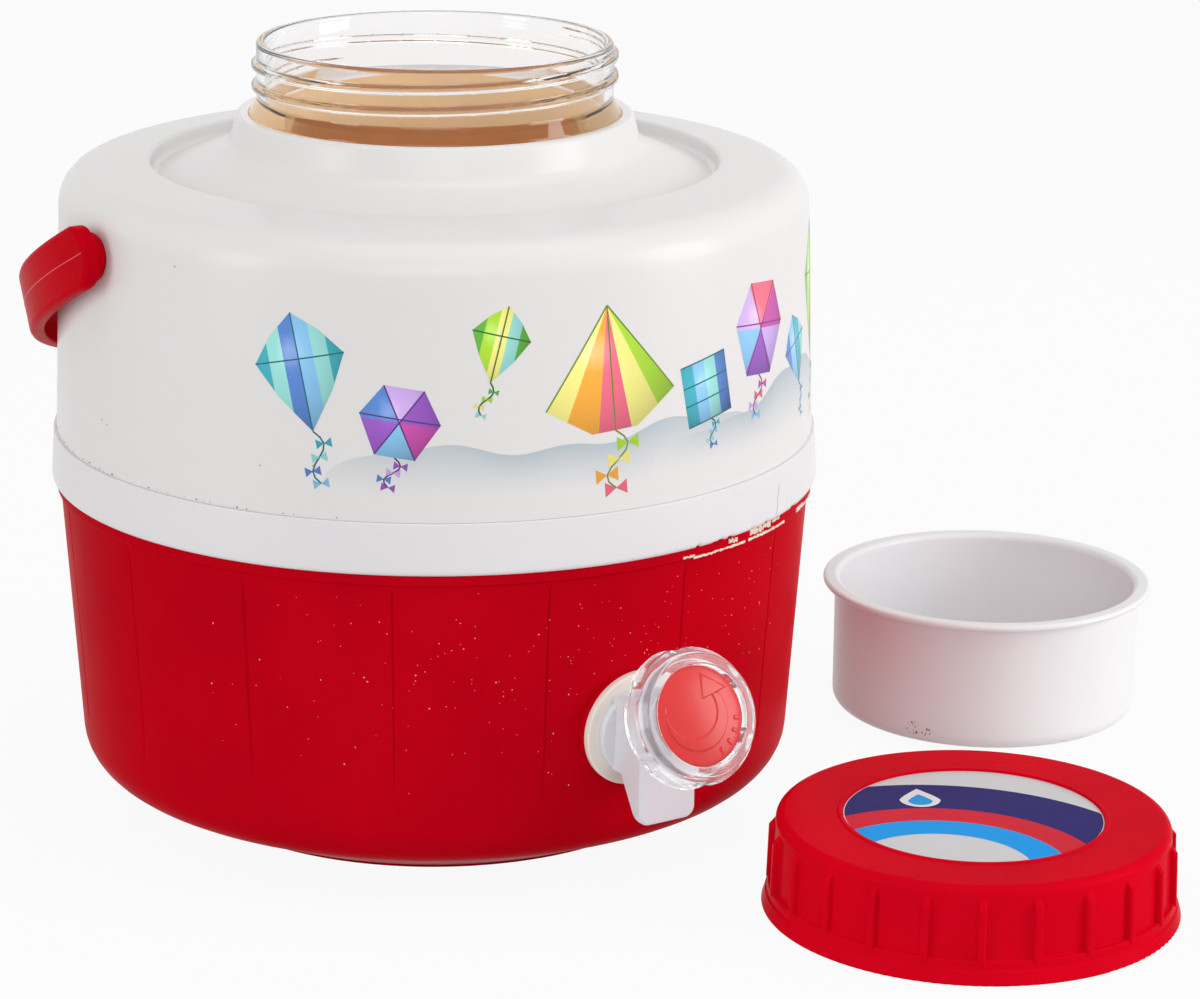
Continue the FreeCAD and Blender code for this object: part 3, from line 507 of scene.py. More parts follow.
band_angles = even(360)
band_angles += [math.radians(8 + 0.12 * i) + 0.0001 for i in range(250)]
band = lathe("waist_band_skin", refine(rounded([
    (SEAM_R + 0.05, BAND_LOW), (BAND_LOW_R, BAND_LOW, 1.6), (BAND_TOP_R, BAND_TOP, 0.3),
    (SEAM_R + 0.05, BAND_TOP)]), 3.0), sorted(band_angles), band_shift)
dress(band, "jug", "white_band", mat_band, "waist_band")


# The tub, with shallow upright grooves between its panels
def tub_shift(a, r, z):
    if z < GROOVE_LOW or z > GROOVE_HIGH or r < 105.0:
        return 0.0, 0.0
    step = 360.0 / PANELS
    off = (math.degrees(a) - GROOVE_FIRST + step / 2) % step - step / 2
    across = abs(math.radians(off) * r) / GROOVE_HALF
    if across >= 1:
        return 0.0, 0.0
    fade = min(1.0, (z - GROOVE_LOW) / 14.0) * min(1.0, GROOVE_HIGH - z)
    return -GROOVE_DEPTH * (1 - across) * fade, 0.0


tub_angles = even(360)
for i in range(PANELS):
    middle = GROOVE_FIRST + 360.0 / PANELS * i
    for off in (-0.26, -0.13, -0.06, 0.0, 0.06, 0.13, 0.26):
        tub_angles.append(math.radians(middle + off) % (2 * math.pi))
tub_angles = sorted(tub_angles)
tub_angles = [a for i, a in enumerate(tub_angles) if a - tub_angles[i - 1] > 1e-5 or i == 0]
tub = lathe("lower_shell_skin", refine(rounded([
    (0, 0), (24.0, 0), (24.0, 1.2), (68.0, 1.2), (68.0, 0), (75.5, 0, 0.6), (76.1, 1.0, 0.8),
    (HEEL_R, HEEL_Z, 14.0), (TUB_TOP_R, TUB_TOP_Z, 0.3), (LIP_R, LIP_LOW, 0.4),
    (LIP_R, BAND_LOW, 0.4), (SEAM_R, BAND_LOW), (SEAM_R, 110.8), (111.1, 110.8), (111.1, 95.4),
    (106.3, 16.9, 11.6), (76.5, 3.6, 2.0), (0, 3.6)]), 3.0, False), tub_angles, tub_shift)
tub = combine(tub, rod(mount_at - mount_dir * 3.6, mount_dir, 4.5, PAD_R), "UNION")
tub = combine(tub, rod(mount_at - mount_dir * 20, mount_dir, 40, SHANK_HOLE_R))
tub = combine(tub, rod((0, PLUG_Y, -1), (0, 0, 1), 6, PLUG_HOLE_R))
dress(tub, "jug", "red_plastic", mat_tub, "lower_shell")


# The clear vessel, with the thread round its neck. Near the thread the rows of its mesh run
# along the thread, so that its flanks come out clean
def thread_shift(a, r, z):
    if abs(r - NECK_R) > 0.3 or not THREAD_LOW <= z <= THREAD_HIGH:
        return 0.0, 0.0
    best = 0.0
    theta = math.degrees(a) - CAM_ROUND
    slide = (THREAD_LEAD * theta / 360.0) % THREAD_ROW - THREAD_ROW / 2
    slide *= max(0.0, min(1.0, z - THREAD_LOW - 0.1, THREAD_HIGH - 0.1 - z))
    z += slide
    for turns in range(-2, 3):
        t = theta + 360.0 * turns
        if not THREAD_FIRST < t < THREAD_LAST:
            continue
        middle = THREAD_Z + THREAD_LEAD * (t + 90.0) / 360.0
        across = abs(z - middle) / THREAD_HALF
        if across < 1:
            ends = min(1.0, (t - THREAD_FIRST) / 18.0, (THREAD_LAST - t) / 18.0)
            flank = min(1.0, (1 - across) / 0.6)
            best = max(best, THREAD_H * flank * flank * (3 - 2 * flank) * ends)
    return best, slide


vessel_line = rounded([
    (0, VESSEL_FLOOR), (VESSEL_R, VESSEL_FLOOR, 10.0), (VESSEL_TOP_R, 181.0, 14.0),
    (55.7, 192.5, 5.0), (55.7, 213.6, 1.5), (NECK_R, 218.0, 2.0), (NECK_R, NECK_TOP, 1.2),
    (NECK_BORE, NECK_TOP, 1.0), (NECK_BORE, 191.6, 7.0), (VESSEL_TOP_R - VESSEL_WALL, 179.3, 12.0),
    (VESSEL_R - VESSEL_WALL, VESSEL_FLOOR + VESSEL_WALL, 8.0),
    (0, VESSEL_FLOOR + VESSEL_WALL)], 7.5)


def on_thread(p, q):
    """Whether a stretch of the vessel's outline lies where the thread is."""
    outside = min(p.x, q.x) > NECK_R - 0.3
    return outside and THREAD_LOW - 0.5 < p.y < THREAD_HIGH + 0.4 and q.y > p.y


fine = []
for p, q in zip(vessel_line, vessel_line[1:]):
    parts = max(1, round((q - p).length / (THREAD_ROW if on_thread(p, q) else 9.0)))
    fine += [p.lerp(q, k / parts) for k in range(parts)]
fine.append(vessel_line[-1])
vessel = lathe("inner_vessel_glass", fine, even(400), thread_shift)
pad_in = tub_r(TAP_Z) - VESSEL_R + VESSEL_WALL + INNER_PAD_T
vessel = combine(vessel, rod(mount_at - mount_dir * pad_in, mount_dir, 4.2, INNER_PAD_R), "UNION")
vessel = combine(vessel, rod(mount_at - mount_dir * 40, mount_dir, 30, SHANK_HOLE_R))
dress(vessel, "jug", "clear_plastic", mat_clear, "inner_vessel")


# The foam clings to the root of the neck, so it shows amber through the wall there; its pale foam
# glows a little with painted light
sleeve = lathe("foam_at_neck", [Vector(p) for p in (
    (55.62, 193.6), (55.92, 193.6), (55.92, 213.2), (55.62, 213.2))], even(256))
dress(sleeve, "jug", "foam", mat_pale_foam)


# The insert in the knob, with a raised crescent that points the way to turn
tilt = math.radians(VALVE_TILT)
valve_dir = Vector((0, -math.cos(tilt), math.sin(tilt)))
valve_up = valve_dir.cross(Vector((1, 0, 0)))
valve_turn = Matrix(((1, 0, 0), valve_up, valve_dir)).transposed()


def on_valve(obj):
    """Carry a piece drawn about Z to the valve's axis."""
    obj.data.transform(Matrix.Translation(VALVE * MM) @ valve_turn.to_4x4())
    obj.data.update()
    return obj


def left_of(a, b, x, y):
    """How far the point lies to the left of the line from a to b."""
    along = math.dist(a, b)
    return ((b[0] - a[0]) * (y - a[1]) - (b[1] - a[1]) * (x - a[0])) / along


def crescent(x, y):
    """How far inside the curved arrow or a tick a point lies, in mm."""
    body = min(10.0 - math.hypot(x + 1.6, y - 0.2), math.hypot(x + 3.0, y - 2.0) - 8.2, 5.6 - y)
    tip, left, right = (2.4, 11.6), (1.0, 4.6), (9.8, 6.6)
    head = min(left_of(left, right, x, y), left_of(right, tip, x, y), left_of(tip, left, x, y))
    best = max(body, head)
    for turn_at in (-66, -48, -30, -12):
        t = math.radians(turn_at)
        along = x * math.cos(t) + y * math.sin(t)
        aside = abs(-x * math.sin(t) + y * math.cos(t))
        best = max(best, min(0.4 - aside, 12.6 - along, along - 10.9))
    return best


def insert_shift(a, r, z):
    if z < INSERT_EDGE or r > 13.2:
        return 0.0, 0.0
    inside = crescent(r * math.sin(a), -r * math.cos(a))
    return 0.0, 0.42 * min(1.0, max(0.0, inside / 0.25 + 0.5))


face_r = INSERT_R - 0.25
crown = [(0, INSERT_EDGE + 0.5), (4.8, INSERT_EDGE + 0.5), (4.8, INSERT_FLOOR),
         (INSERT_R, INSERT_FLOOR), (INSERT_R, INSERT_EDGE - 0.25), (face_r, INSERT_EDGE)]
crown = [Vector(c) for c in crown]
for i in range(1, 71):
    r = face_r * (1 - i / 70)
    crown.append(Vector((r, INSERT_EDGE + 1.9 * (1 - (r / face_r) ** 2))))
insert = on_valve(lathe("knob_insert_face", crown, even(300), insert_shift))
dress(insert, "knob", "red_plastic", mat_insert, "knob_insert")


# The moulding's parting line, a fine bead along the middle of the handle's outer face; its paler
# red is painted highlight
def on_bail(x, y):
    """A point of the handle's plane: x across, y out from the pivots."""
    slope = math.radians(HANDLE_SLOPE)
    return Vector((x, y * math.cos(slope), PIVOT_Z - y * math.sin(slope)))


bead_points = [on_bail(HANDLE_HALF, y) for y in (-8.0, -6.0, -3.0)]
for i in range(97):
    angle = math.pi * i / 96
    c = math.cos(angle)
    across = HANDLE_HALF * math.copysign(abs(c) ** (2 / HANDLE_POWER), c)
    bead_points.append(on_bail(across, HANDLE_REACH * math.sin(angle) ** (2 / HANDLE_POWER)))
bead_points += [on_bail(-HANDLE_HALF, y) for y in (-3.0, -6.0, -8.0)]
line = bpy.data.curves.new("handle_parting_bead", "CURVE")
line.dimensions = "3D"
line.bevel_depth = 0.13 * MM
line.bevel_resolution = 2
line.use_fill_caps = True
spline = line.splines.new("POLY")
spline.points.add(len(bead_points) - 1)
for point, place in zip(spline.points, bead_points):
    point.co = (*(place * MM), 1)
bead = new_object("handle_parting_bead", line)
bead_mesh = bpy.data.meshes.new_from_object(
    bead.evaluated_get(bpy.context.evaluated_depsgraph_get()))
bpy.data.objects.remove(bead)
dress(smooth(new_object("handle_parting_bead", bead_mesh)), "bail", "red_plastic", mat_bead_painted_highlight)


# Printed and stuck-on detail: flat shapes laid on a surface, as thin solids

def dense(outline, step):
    """The same flat outline with no stretch longer than step."""
    out = []
    for i, a in enumerate(outline):
        b = outline[(i + 1) % len(outline)]
        parts = max(1, math.ceil(math.dist(a, b) / step))
        out += [(a[0] + (b[0] - a[0]) * k / parts, a[1] + (b[1] - a[1]) * k / parts)
                for k in range(parts)]
    return out


def ink(name, shapes, lay, thick=0.012, step=2.5):
    """Shapes are (outline, colour, layer); colour is (r, g, b, a) or a function of (u, v).
    lay(u, v, off) puts a flat point on the surface, off mm above it."""
    verts = []
    faces = []
    colours = []
    for outline, colour, layer in shapes:
        rim = dense(outline, step)
        us = [p[0] for p in rim]
        vs = [p[1] for p in rim]
        points = [Vector(p) for p in rim]
        edges = [(i, (i + 1) % len(rim)) for i in range(len(rim))]
        nu = int((max(us) - min(us)) / step)
        nv = int((max(vs) - min(vs)) / step)
        for i in range(1, nu + 1):
            for j in range(1, nv + 1):
                points.append(Vector((min(us) + (i + 0.03 * j) * step, min(vs) + j * step)))
        flat, _, tris, _, _, _ = geometry.delaunay_2d_cdt(points, edges, [], 1, 1e-5)
        first = len(verts)
        used = sorted({k for tri in tris for k in tri})
        place = {k: first + n for n, k in enumerate(used)}
        for k in used:
            u, v = flat[k]
            verts.append(lay(u, v, INK_LIFT + layer * thick))
            colours.append(colour(u, v) if callable(colour) else colour)
        for tri in tris:
            faces.append([place[k] for k in tri])
    mesh = bpy.data.meshes.new(name)
    mesh.from_pydata([p * MM for p in verts], [], faces)
    paint = mesh.color_attributes.new("ink", "FLOAT_COLOR", "POINT")
    for k, colour in enumerate(colours):
        paint.data[k].color = colour
    mesh.validate()
    obj = new_object(name, mesh)
    solid = obj.modifiers.new("thickness", "SOLIDIFY")
    solid.thickness = thick * MM * 0.8
    solid.offset = 1.0
    return freeze(obj)


def on_shell(u, v, off):
    """u is the way round in mm from the tap, v the height."""
    r = shell_r(v) + off
    a = u / PRINT_R
    return Vector((r * math.sin(a), -r * math.cos(a), v))


def clip(poly, nx, ny, limit):
    """The part of a convex polygon where nx*x + ny*y <= limit."""
    out = []
    for i, a in enumerate(poly):
        b = poly[(i + 1) % len(poly)]
        da = nx * a[0] + ny * a[1] - limit
        db = nx * b[0] + ny * b[1] - limit
        if da <= 0:
            out.append(a)
        if da * db < 0:
            t = da / (da - db)
            out.append((a[0] + (b[0] - a[0]) * t, a[1] + (b[1] - a[1]) * t))
    return out


def area(poly):
    """The polygon's area, negative where it runs clockwise."""
    return 0.5 * sum(a[0] * b[1] - b[0] * a[1] for a, b in zip(poly, poly[1:] + poly[:1]))


TEAL = (0.05, 0.42, 0.52)
AQUA = (0.32, 0.72, 0.68)
BLUE = (0.10, 0.24, 0.62)
SKY = (0.25, 0.55, 0.85)
LIME = (0.42, 0.72, 0.04)
LEAF = (0.12, 0.45, 0.05)
LEMON = (0.92, 0.86, 0.25)
ORANGE = (0.92, 0.42, 0.05)
PINK = (0.86, 0.16, 0.24)
PURPLE = (0.32, 0.10, 0.55)
MAGENTA = (0.60, 0.08, 0.42)
LILAC = (0.62, 0.42, 0.85)


class Kite:
    """A kite of one of four kinds, drawn about its own middle and then turned and placed."""

    def __init__(self, u, v, width, height, lean, kind, hues):
        self.u = u
        self.v = v
        self.width = width
        self.height = height
        self.lean = math.radians(lean)
        self.kind = kind
        self.hues = hues

    def put(self, points):
        """Turn and place points of the kite's own drawing."""
        c = math.cos(self.lean)
        s = math.sin(self.lean)
        return [(self.u + x * c - y * s, self.v + x * s + y * c) for x, y in points]

    def shaded(self, hue):
        """The panel's colour, lighter at the upper left and darker towards the rim."""
        def colour(u, v):
            x = (u - self.u) / self.width
            y = (v - self.v) / self.height
            light = 1.12 + 0.35 * (y - x) - 1.1 * (x * x + y * y)
            glow = max(0.0, 0.16 - math.hypot(x + 0.12, y - 0.16)) * 1.6
            return tuple(min(1.0, c * light + glow) for c in hue) + (1.0,)
        return colour

    def outline(self):
        w = self.width / 2
        h = self.height / 2
        if self.kind == "diamond":
            return [(0, h), (-w * 0.55, h * 0.66), (-w, h * 0.22), (-w * 0.6, -h * 0.36), (0, -h),
                    (w * 0.6, -h * 0.36), (w, h * 0.22), (w * 0.55, h * 0.66)]
        if self.kind == "six":
            return [(-w * 0.5, h), (-w, h * 0.1), (-w * 0.5, -h), (w * 0.5, -h), (w, h * 0.1),
                    (w * 0.5, h)]
        if self.kind == "delta":
            return [(0, h), (-w, -h * 0.45), (-w * 0.35, -h * 0.9), (w * 0.35, -h * 0.9),
                    (w, -h * 0.45)]
        return [(-w, h), (-w, -h), (w, -h), (w, h)]

    def panels(self):
        """The outline cut into one piece for each hue: wedges from the apex, or upright strips."""
        body = self.outline()
        count = len(self.hues)
        out = []
        if self.kind in ("six", "delta"):
            apex = (0, 0) if self.kind == "six" else (0, self.height / 2)
            low, high = (0, 360) if self.kind == "six" else (212, 328)
            for i, hue in enumerate(self.hues):
                a = math.radians(low + (high - low) * i / count)
                b = math.radians(low + (high - low) * (i + 1) / count)
                part = clip(body, math.sin(a), -math.cos(a),
                            math.sin(a) * apex[0] - math.cos(a) * apex[1])
                part = clip(part, -math.sin(b), math.cos(b),
                            -math.sin(b) * apex[0] + math.cos(b) * apex[1])
                out.append((part, hue))
            return out
        for i, hue in enumerate(self.hues):
            low = self.width * (i / count - 0.5)
            high = self.width * ((i + 1) / count - 0.5)
            out.append((clip(clip(body, -1, 0, -low), 1, 0, high), hue))
        return out

    def shapes(self):
        """What ink() takes: panels, spars, and a tail with bows."""
        out = []
        for part, hue in self.panels():
            if len(part) > 2 and abs(area(part)) > 0.3:
                out.append((self.put(part), self.shaded(hue), 2))
        deep = tuple(c * 0.35 for c in self.hues[0]) + (1.0,)
        for a, b in self.spars():
            out.append((self.put(band_line([a, b], 0.42)), deep, 3))
        foot = -self.height / 2
        if self.kind == "delta":
            foot *= 0.9
        tail = [(math.sin(k * 0.75) * self.width * 0.09, foot - k * self.height * 0.055)
                for k in range(9)]
        out.append((self.put(band_line(tail, 0.5)), deep, 1))
        for n, k in enumerate((2, 4, 6, 8)):
            x, y = tail[k]
            size = self.width * 0.085
            hue = self.hues[n % len(self.hues)]
            for way in (-1, 1):
                bow = [(x, y), (x + way * size, y + size * 0.62), (x + way * size, y - size * 0.62)]
                out.append((self.put(bow), tuple(c * 0.85 for c in hue) + (1.0,), 2))
        return out

    def spars(self):
        w = self.width / 2
        h = self.height / 2
        if self.kind == "diamond":
            return [((0, h), (0, -h)), ((-w, h * 0.22), (w, h * 0.22))]
        if self.kind == "six":
            return [((-w * 0.5, h), (w * 0.5, -h)), ((w * 0.5, h), (-w * 0.5, -h)),
                    ((-w, h * 0.1), (w, h * 0.1))]
        if self.kind == "delta":
            return [((0, h), (0, -h * 0.9)), ((0, h), (-w, -h * 0.45)), ((0, h), (w, -h * 0.45))]
        return [((-w, h), (w, h)), ((-w, -h), (w, -h)), ((-w, h * 0.3), (w, h * 0.3)),
                ((-w, -h * 0.3), (w, -h * 0.3))]


def band_line(points, width):
    """The outline of a line of that width through the points."""
    left = []
    right = []
    for i, p in enumerate(points):
        a = points[max(0, i - 1)]
        b = points[min(len(points) - 1, i + 1)]
        length = math.dist(a, b)
        nx = -(b[1] - a[1]) / length * width / 2
        ny = (b[0] - a[0]) / length * width / 2
        left.append((p[0] + nx, p[1] + ny))
        right.append((p[0] - nx, p[1] - ny))
    return left + right[::-1]


def hill(first, last, base, crest, hue, strength, layer):
    """One soft ridge of hills, which fades downwards."""
    count = 60
    top = []
    for i in range(count + 1):
        u = first + (last - first) * i / count
        ends = math.sin(math.pi * i / count) ** 0.4
        top.append((u, base + (crest(u) - base) * ends + 0.4))
    rim = top + [(last, base), (first, base)]

    def colour(u, v):
        share = strength * max(0.0, min(1.0, (v - base) / max(1.0, crest(u) - base))) ** 1.2
        return tuple(w + (c - w) * share for w, c in zip(WHITE, hue)) + (1.0,)
    return rim, colour, layer


kites = [
    Kite(-99, 160, 27, 34, 12, "diamond", [TEAL, AQUA, BLUE, SKY, AQUA, TEAL]),
    Kite(-71, 147, 23, 20, -8, "six", [PURPLE, LILAC, BLUE, PURPLE, SKY, MAGENTA]),
    Kite(-43, 169, 17, 22, -14, "diamond", [LEAF, LIME, LEMON, AQUA, LEAF]),
    Kite(-10, 159, 41, 38, 4, "delta", [LIME, LEMON, ORANGE, PINK, LEMON, LIME, LEAF]),
    Kite(24, 149, 18, 18, 10, "box", [TEAL, SKY, AQUA, BLUE]),
    Kite(50, 162, 26, 27, -6, "six", [MAGENTA, PINK, LILAC, SKY, PURPLE, LILAC]),
    Kite(76, 150, 18, 23, 16, "diamond", [BLUE, SKY, TEAL, AQUA]),
    Kite(100, 164, 23, 40, -5, "diamond", [LEAF, LIME, TEAL, LEMON, LEAF]),
    Kite(121, 151, 16, 17, 8, "delta", [ORANGE, LEMON, PINK]),
]
MIST = (0.43, 0.51, 0.57)


def left_crest(u):
    return 141 + 3.2 * math.sin(u / 17.0) + 1.2 * math.sin(u / 5.1)


def right_crest(u):
    return 143 + 3.6 * math.sin(u / 13.0 + 2) + math.sin(u / 4.3)


print_shapes = [
    hill(-94, 60, 126, left_crest, MIST, 0.85, 0),
    hill(2, 139, 127, right_crest, MIST, 0.95, 0.5),
]
for kite in kites:
    print_shapes += kite.shapes()
kite_print = ink("kite_print", print_shapes, on_shell)
dress(kite_print, "jug", "white_shell", mat_ink)


# The cap's label: bands that sweep across it, and a drop

def arc_band(middle, low, high, limit):
    """The part between two circles about middle that lies inside a disc of radius limit."""
    runs = []
    for radius in (high, low):
        turn = [2 * math.pi * i / 1440 for i in range(-720, 720)]
        run = [(middle[0] + radius * math.sin(t), middle[1] + radius * math.cos(t)) for t in turn]
        runs.append([p for p in run if math.hypot(*p) <= limit])

    def rim(a, b):
        start = math.atan2(a[1], a[0])
        sweep = (math.atan2(b[1], b[0]) - start + math.pi) % (2 * math.pi) - math.pi
        return [(limit * math.cos(start + sweep * k / 16), limit * math.sin(start + sweep * k / 16))
                for k in range(1, 16)]
    outer, inner = runs
    return outer + rim(outer[-1], inner[-1]) + inner[::-1] + rim(inner[0], outer[0])


def on_label(u, v, off):
    """u is to the right and v away from the camera's side, from the label's middle."""
    right = camera_turn @ Vector((1, 0, 0))
    away = camera_turn @ Vector((0, 1, 0))
    return CAP + right * u + away * v + Vector((0, 0, LABEL_Z + LABEL_T + off))


def drop_outline(u, v, size, count=40):
    """A drop, round below and drawn out to a point above."""
    out = []
    for i in range(count):
        t = 2 * math.pi * i / count
        c = math.cos(t)
        narrow = 1.0 if c < 0 else (1 - c) ** 0.6
        tall = 1.5 if c > 0 else 1.0
        out.append((u + size * math.sin(t) * narrow, v + size * tall * c))
    return out


SWEEP_AT = (-14.0, -40.0)     # the middle of the label's arcs
LABEL_RIM = 37.3
label_shapes = [
    (arc_band(SWEEP_AT, 46.0, 66.0, LABEL_RIM), (0.022, 0.014, 0.15, 1.0), 0),
    (arc_band(SWEEP_AT, 36.0, 46.5, LABEL_RIM), (0.66, 0.012, 0.03, 1.0), 1),
    (arc_band(SWEEP_AT, 26.0, 36.5, LABEL_RIM), (0.008, 0.34, 0.86, 1.0), 2),
    (drop_outline(-14.0, 13.5, 6.0), (0.80, 0.80, 0.80, 1.0), 3),
    (drop_outline(-14.0, 12.6, 3.6), (0.02, 0.34, 0.82, 1.0), 4),
]
label_print = ink("label_print", label_shapes, on_label, 0.012, 2.0)
dress(label_print, "cap", "silver_label", mat_matt_ink)


# Wear: cream flash along the tub's lip, a hairline in the band, dust and scuffs

def on_round(radius):
    """Lays ink round the jug's axis: u is the turn in degrees and v the height."""
    def lay(u, v, off):
        a = math.radians(u)
        r = radius(v) + off
        return Vector((r * math.sin(a), -r * math.cos(a), v))
    return lay


def ragged(first, last, low, high, seed):
    """A ragged strip between two turns, in degrees, and about two heights."""
    dice = random.Random(seed)
    count = max(6, int((last - first) * 4))
    top = []
    foot = []
    for i in range(count + 1):
        u = first + (last - first) * i / count
        ends = min(1.0, 3.0 * min(i, count - i) / count)
        top.append((u, high + dice.uniform(-0.5, 0.25) * (high - low) * ends))
        foot.append((u, low + dice.uniform(-0.2, 0.45) * (high - low) * ends))
    return top + foot[::-1]


CREAM = (0.82, 0.66, 0.52, 1.0)
PALE = (0.84, 0.74, 0.64, 1.0)
flash = [
    (ragged(7.2, 9.4, 100.4, 101.1, 1), CREAM, 0),
    (ragged(9.2, 20.5, 99.75, 100.45, 2), PALE, 0),
    (ragged(16.6, 17.5, 101.3, 102.6, 3), CREAM, 0),
    (ragged(17.6, 18.6, 101.0, 102.3, 4), CREAM, 0),
    (ragged(21.8, 27.6, 101.2, 103.1, 5), CREAM, 0),
    (ragged(21.4, 26.2, 99.7, 100.6, 6), PALE, 0),
    (ragged(26.0, 32.5, 99.75, 100.5, 7), PALE, 0),
    (ragged(28.2, 30.6, 102.0, 103.0, 8), CREAM, 0),
    (ragged(38.0, 41.5, 99.8, 101.2, 9), PALE, 0),
    (ragged(41.0, 49.0, 99.75, 100.4, 10), PALE, 0),
]
flakes = ink("seam_flash", flash, on_round(lambda z: LIP_R), 0.35, 1.5)
dress(flakes, "jug", "ivory_seal", mat_matt_ink)


def band_r(z):
    return BAND_LOW_R + (z - BAND_LOW) / (BAND_TOP - BAND_LOW) * (BAND_TOP_R - BAND_LOW_R)


hairline = [(29.9, 113.2), (29.3, 112.4), (29.4, 111.0), (28.9, 109.6), (28.8, 107.0),
            (28.4, 105.2), (28.3, 104.6)]
crack = ink("band_hairline", [(band_line(hairline, 0.10), (0.30, 0.27, 0.27, 1.0), 0)],
            on_round(band_r), 0.03, 1.0)
dress(crack, "jug", "white_band", mat_ink)

dust_rng = random.Random(11)


def mote(u, v, size, radius):
    """The ragged outline of one speck; u is in degrees, and size and radius in mm."""
    out = []
    for i in range(6):
        t = 2 * math.pi * i / 6
        reach = size * dust_rng.uniform(0.6, 1.2)
        out.append((u + math.degrees(reach * math.cos(t) / radius), v + reach * math.sin(t)))
    return out


motes = []
for _ in range(210):
    u = dust_rng.triangular(-75, 50, -2)
    v = dust_rng.triangular(30, 99, 82)
    size = dust_rng.choice((0.11, 0.11, 0.15, 0.15, 0.2, 0.28))
    if math.hypot(u * 1.9, v - TAP_Z) > PAD_R + 3:
        motes.append((mote(u, v, size, 112.0), (0.78, 0.38, 0.32, 1.0), 0))
dust = ink("tub_dust", motes, on_round(tub_r), 0.05, 5.0)
dress(dust, "jug", "red_plastic", mat_matt_ink)

grime = []
for _ in range(34):
    u = dust_rng.triangular(-108, -40, -98)
    grime.append((mote(u, 118.9 + dust_rng.uniform(-0.1, 0.35), dust_rng.uniform(0.1, 0.3), 115.0),
                  (0.22, 0.17, 0.10, 1.0), 0))
for u, v in ((-88.0, 134.0), (-86.5, 133.2), (-48.0, 133.5), (-56.0, 132.0), (-71.0, 185.0)):
    grime.append((mote(u, v, 0.3, 115.0), (0.42, 0.34, 0.20, 1.0), 0))
scuffs = []
for _ in range(26):
    u = dust_rng.gauss(-63, 3.2)
    v = 3.4 + abs(dust_rng.gauss(0, 1.6))
    scuffs.append((mote(u, v, dust_rng.uniform(0.12, 0.42), 49.0), (0.42, 0.24, 0.12, 1.0), 0))


def on_cup(u, v, off):
    """u is the turn round the cup's axis in degrees and v the height, on its rounded heel."""
    a = math.radians(u)
    low = max(0.0, CUP_HEEL - v)
    r = CUP_R - CUP_HEEL + math.sqrt(CUP_HEEL ** 2 - low ** 2) + off
    return CUP + Vector((r * math.sin(a), -r * math.cos(a), v))


scuff = ink("cup_scuff", scuffs, on_cup, 0.03, 5.0)
dress(scuff, "drinking_cup", "white_cup", mat_matt_ink)
seam_dust = ink("seam_dust", grime, on_round(lambda z: shell_r(z) + 0.02), 0.05, 5.0)
dress(seam_dust, "jug", "white_shell", mat_matt_ink)


# Camera, light and floor

def make_camera():
    """The photograph's camera, with its place and turn in the row frame."""
    data = bpy.data.cameras.new("photo_camera")
    data.sensor_width = SENSOR_MM
    data.lens = FOCAL_PX / PHOTO_W * SENSOR_MM
    data.clip_start = 0.05
    data.clip_end = 30.0
    pitch = math.radians(CAM_PITCH)
    yaw = math.radians(CAM_YAW)
    ahead = Vector((math.sin(yaw) * math.cos(pitch), math.cos(yaw) * math.cos(pitch),
                    -math.sin(pitch)))
    side = Vector((math.cos(yaw), -math.sin(yaw), 0))
    up = side.cross(ahead)
    roll = math.radians(CAM_ROLL)
    right = side * math.cos(roll) + up * math.sin(roll)
    top = up * math.cos(roll) - side * math.sin(roll)
    axes = camera_turn @ Matrix((right, top, -ahead)).transposed()
    place = camera_turn @ Vector((0, -CAM_DISTANCE, CAM_HEIGHT)) * MM
    camera = bpy.data.objects.new("photo_camera", data)
    bpy.context.scene.collection.objects.link(camera)
    camera.matrix_world = Matrix.Translation(place) @ axes.to_4x4()
    bpy.context.scene.camera = camera


def soft_box(name, place, aim, size, power):
    """An area lamp; place and aim are in metres as the camera sees them: right, away, up."""
    data = bpy.data.lights.new(name, "AREA")
    data.shape = "RECTANGLE"
    data.size = size[0]
    data.size_y = size[1]
    data.energy = power
    lamp = bpy.data.objects.new(name, data)
    bpy.context.scene.collection.objects.link(lamp)
    at = camera_turn @ Vector(place)
    to = camera_turn @ Vector(aim)
    lamp.location = at
    lamp.rotation_mode = "QUATERNION"
    lamp.rotation_quaternion = (to - at).to_track_quat("-Z", "Y")


make_camera()
soft_box("top_box", (0.1, -0.3, 1.5), (0.05, 0.0, 0.1), (1.4, 1.0), 5.3)
soft_box("left_box", (-1.3, -0.8, 0.45), (0.0, 0.0, 0.12), (0.5, 0.9), 4.8)
soft_box("right_box", (1.4, -0.35, 0.45), (0.0, 0.0, 0.08), (0.7, 1.0), 9.8)
soft_box("front_box", (-0.1, -1.9, 0.75), (0.05, 0.0, 0.1), (1.2, 0.8), 5.8)


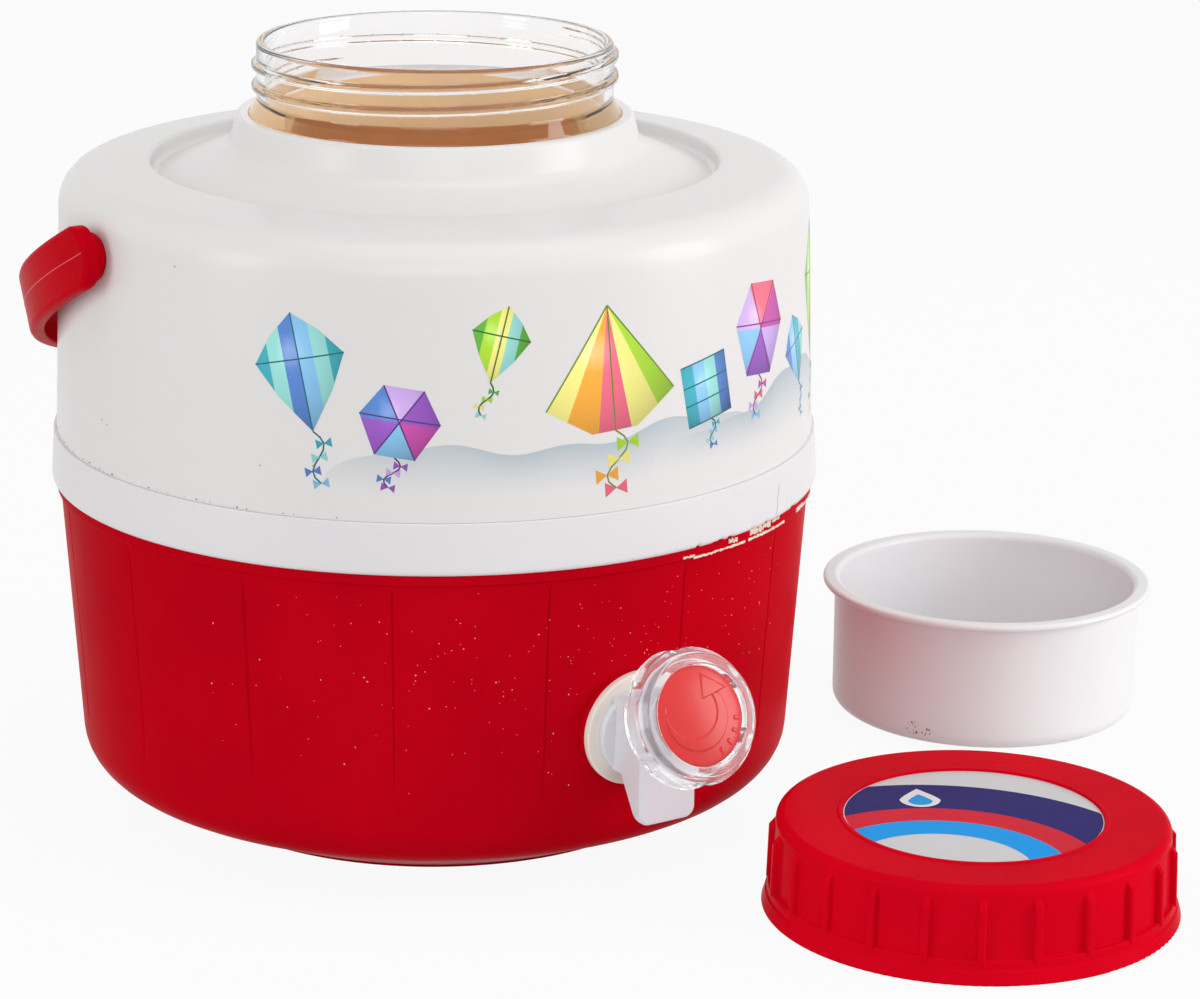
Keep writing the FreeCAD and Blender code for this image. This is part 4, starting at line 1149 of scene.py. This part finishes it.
def camera_factor(tree):
    """1 for rays that should see the plain white background."""
    path = add(tree, "ShaderNodeLightPath")
    value = path.outputs["Is Camera Ray"]
    for name in ("Is Transmission Ray", "Is Glossy Ray"):
        top = add(tree, "ShaderNodeMath", operation="MAXIMUM")
        tree.links.new(value, top.inputs[0])
        tree.links.new(path.outputs[name], top.inputs[1])
        value = top.outputs[0]
    return value


def make_world(level):
    """An even white surround that lights the object at that level."""
    world = bpy.data.worlds.new("studio")
    bpy.context.scene.world = world
    world.use_nodes = True
    tree = world.node_tree
    tree.nodes.clear()
    dim = add(tree, "ShaderNodeBackground", {"Color": (1, 1, 1, 1), "Strength": level})
    full = add(tree, "ShaderNodeBackground", {"Color": (1, 1, 1, 1), "Strength": 1.0})
    mix = add(tree, "ShaderNodeMixShader")
    tree.links.new(camera_factor(tree), mix.inputs[0])
    tree.links.new(dim.outputs[0], mix.inputs[1])
    tree.links.new(full.outputs[0], mix.inputs[2])
    out = add(tree, "ShaderNodeOutputWorld")
    tree.links.new(mix.outputs[0], out.inputs["Surface"])


def make_floor():
    """A plain floor that looks white and keeps the object's shadow."""
    half = 7.0
    mesh = bpy.data.meshes.new("floor")
    mesh.from_pydata([(-half, -half, 0), (half, -half, 0), (half, half, 0), (-half, half, 0)],
                     [], [(0, 1, 2, 3)])
    floor = new_object("floor", mesh)
    floor.location.z = -0.0003
    material, tree, shader = node_tree("floor_white")
    shader.inputs["Base Color"].default_value = (0.75, 0.75, 0.75, 1)
    shader.inputs["Roughness"].default_value = 0.9
    glow = add(tree, "ShaderNodeEmission", {"Color": (1, 1, 1, 1), "Strength": 1.0})
    share = add(tree, "ShaderNodeMath", {1: FLOOR_WHITE}, operation="MULTIPLY")
    tree.links.new(camera_factor(tree), share.inputs[0])
    mix = add(tree, "ShaderNodeMixShader")
    tree.links.new(share.outputs[0], mix.inputs[0])
    tree.links.new(shader.outputs[0], mix.inputs[1])
    tree.links.new(glow.outputs[0], mix.inputs[2])
    tree.links.new(mix.outputs[0], tree.nodes["Material Output"].inputs["Surface"])
    mesh.materials.append(material)


make_world(WORLD_LEVEL)
make_floor()

scene = bpy.context.scene
scene.view_settings.view_transform = "Standard"
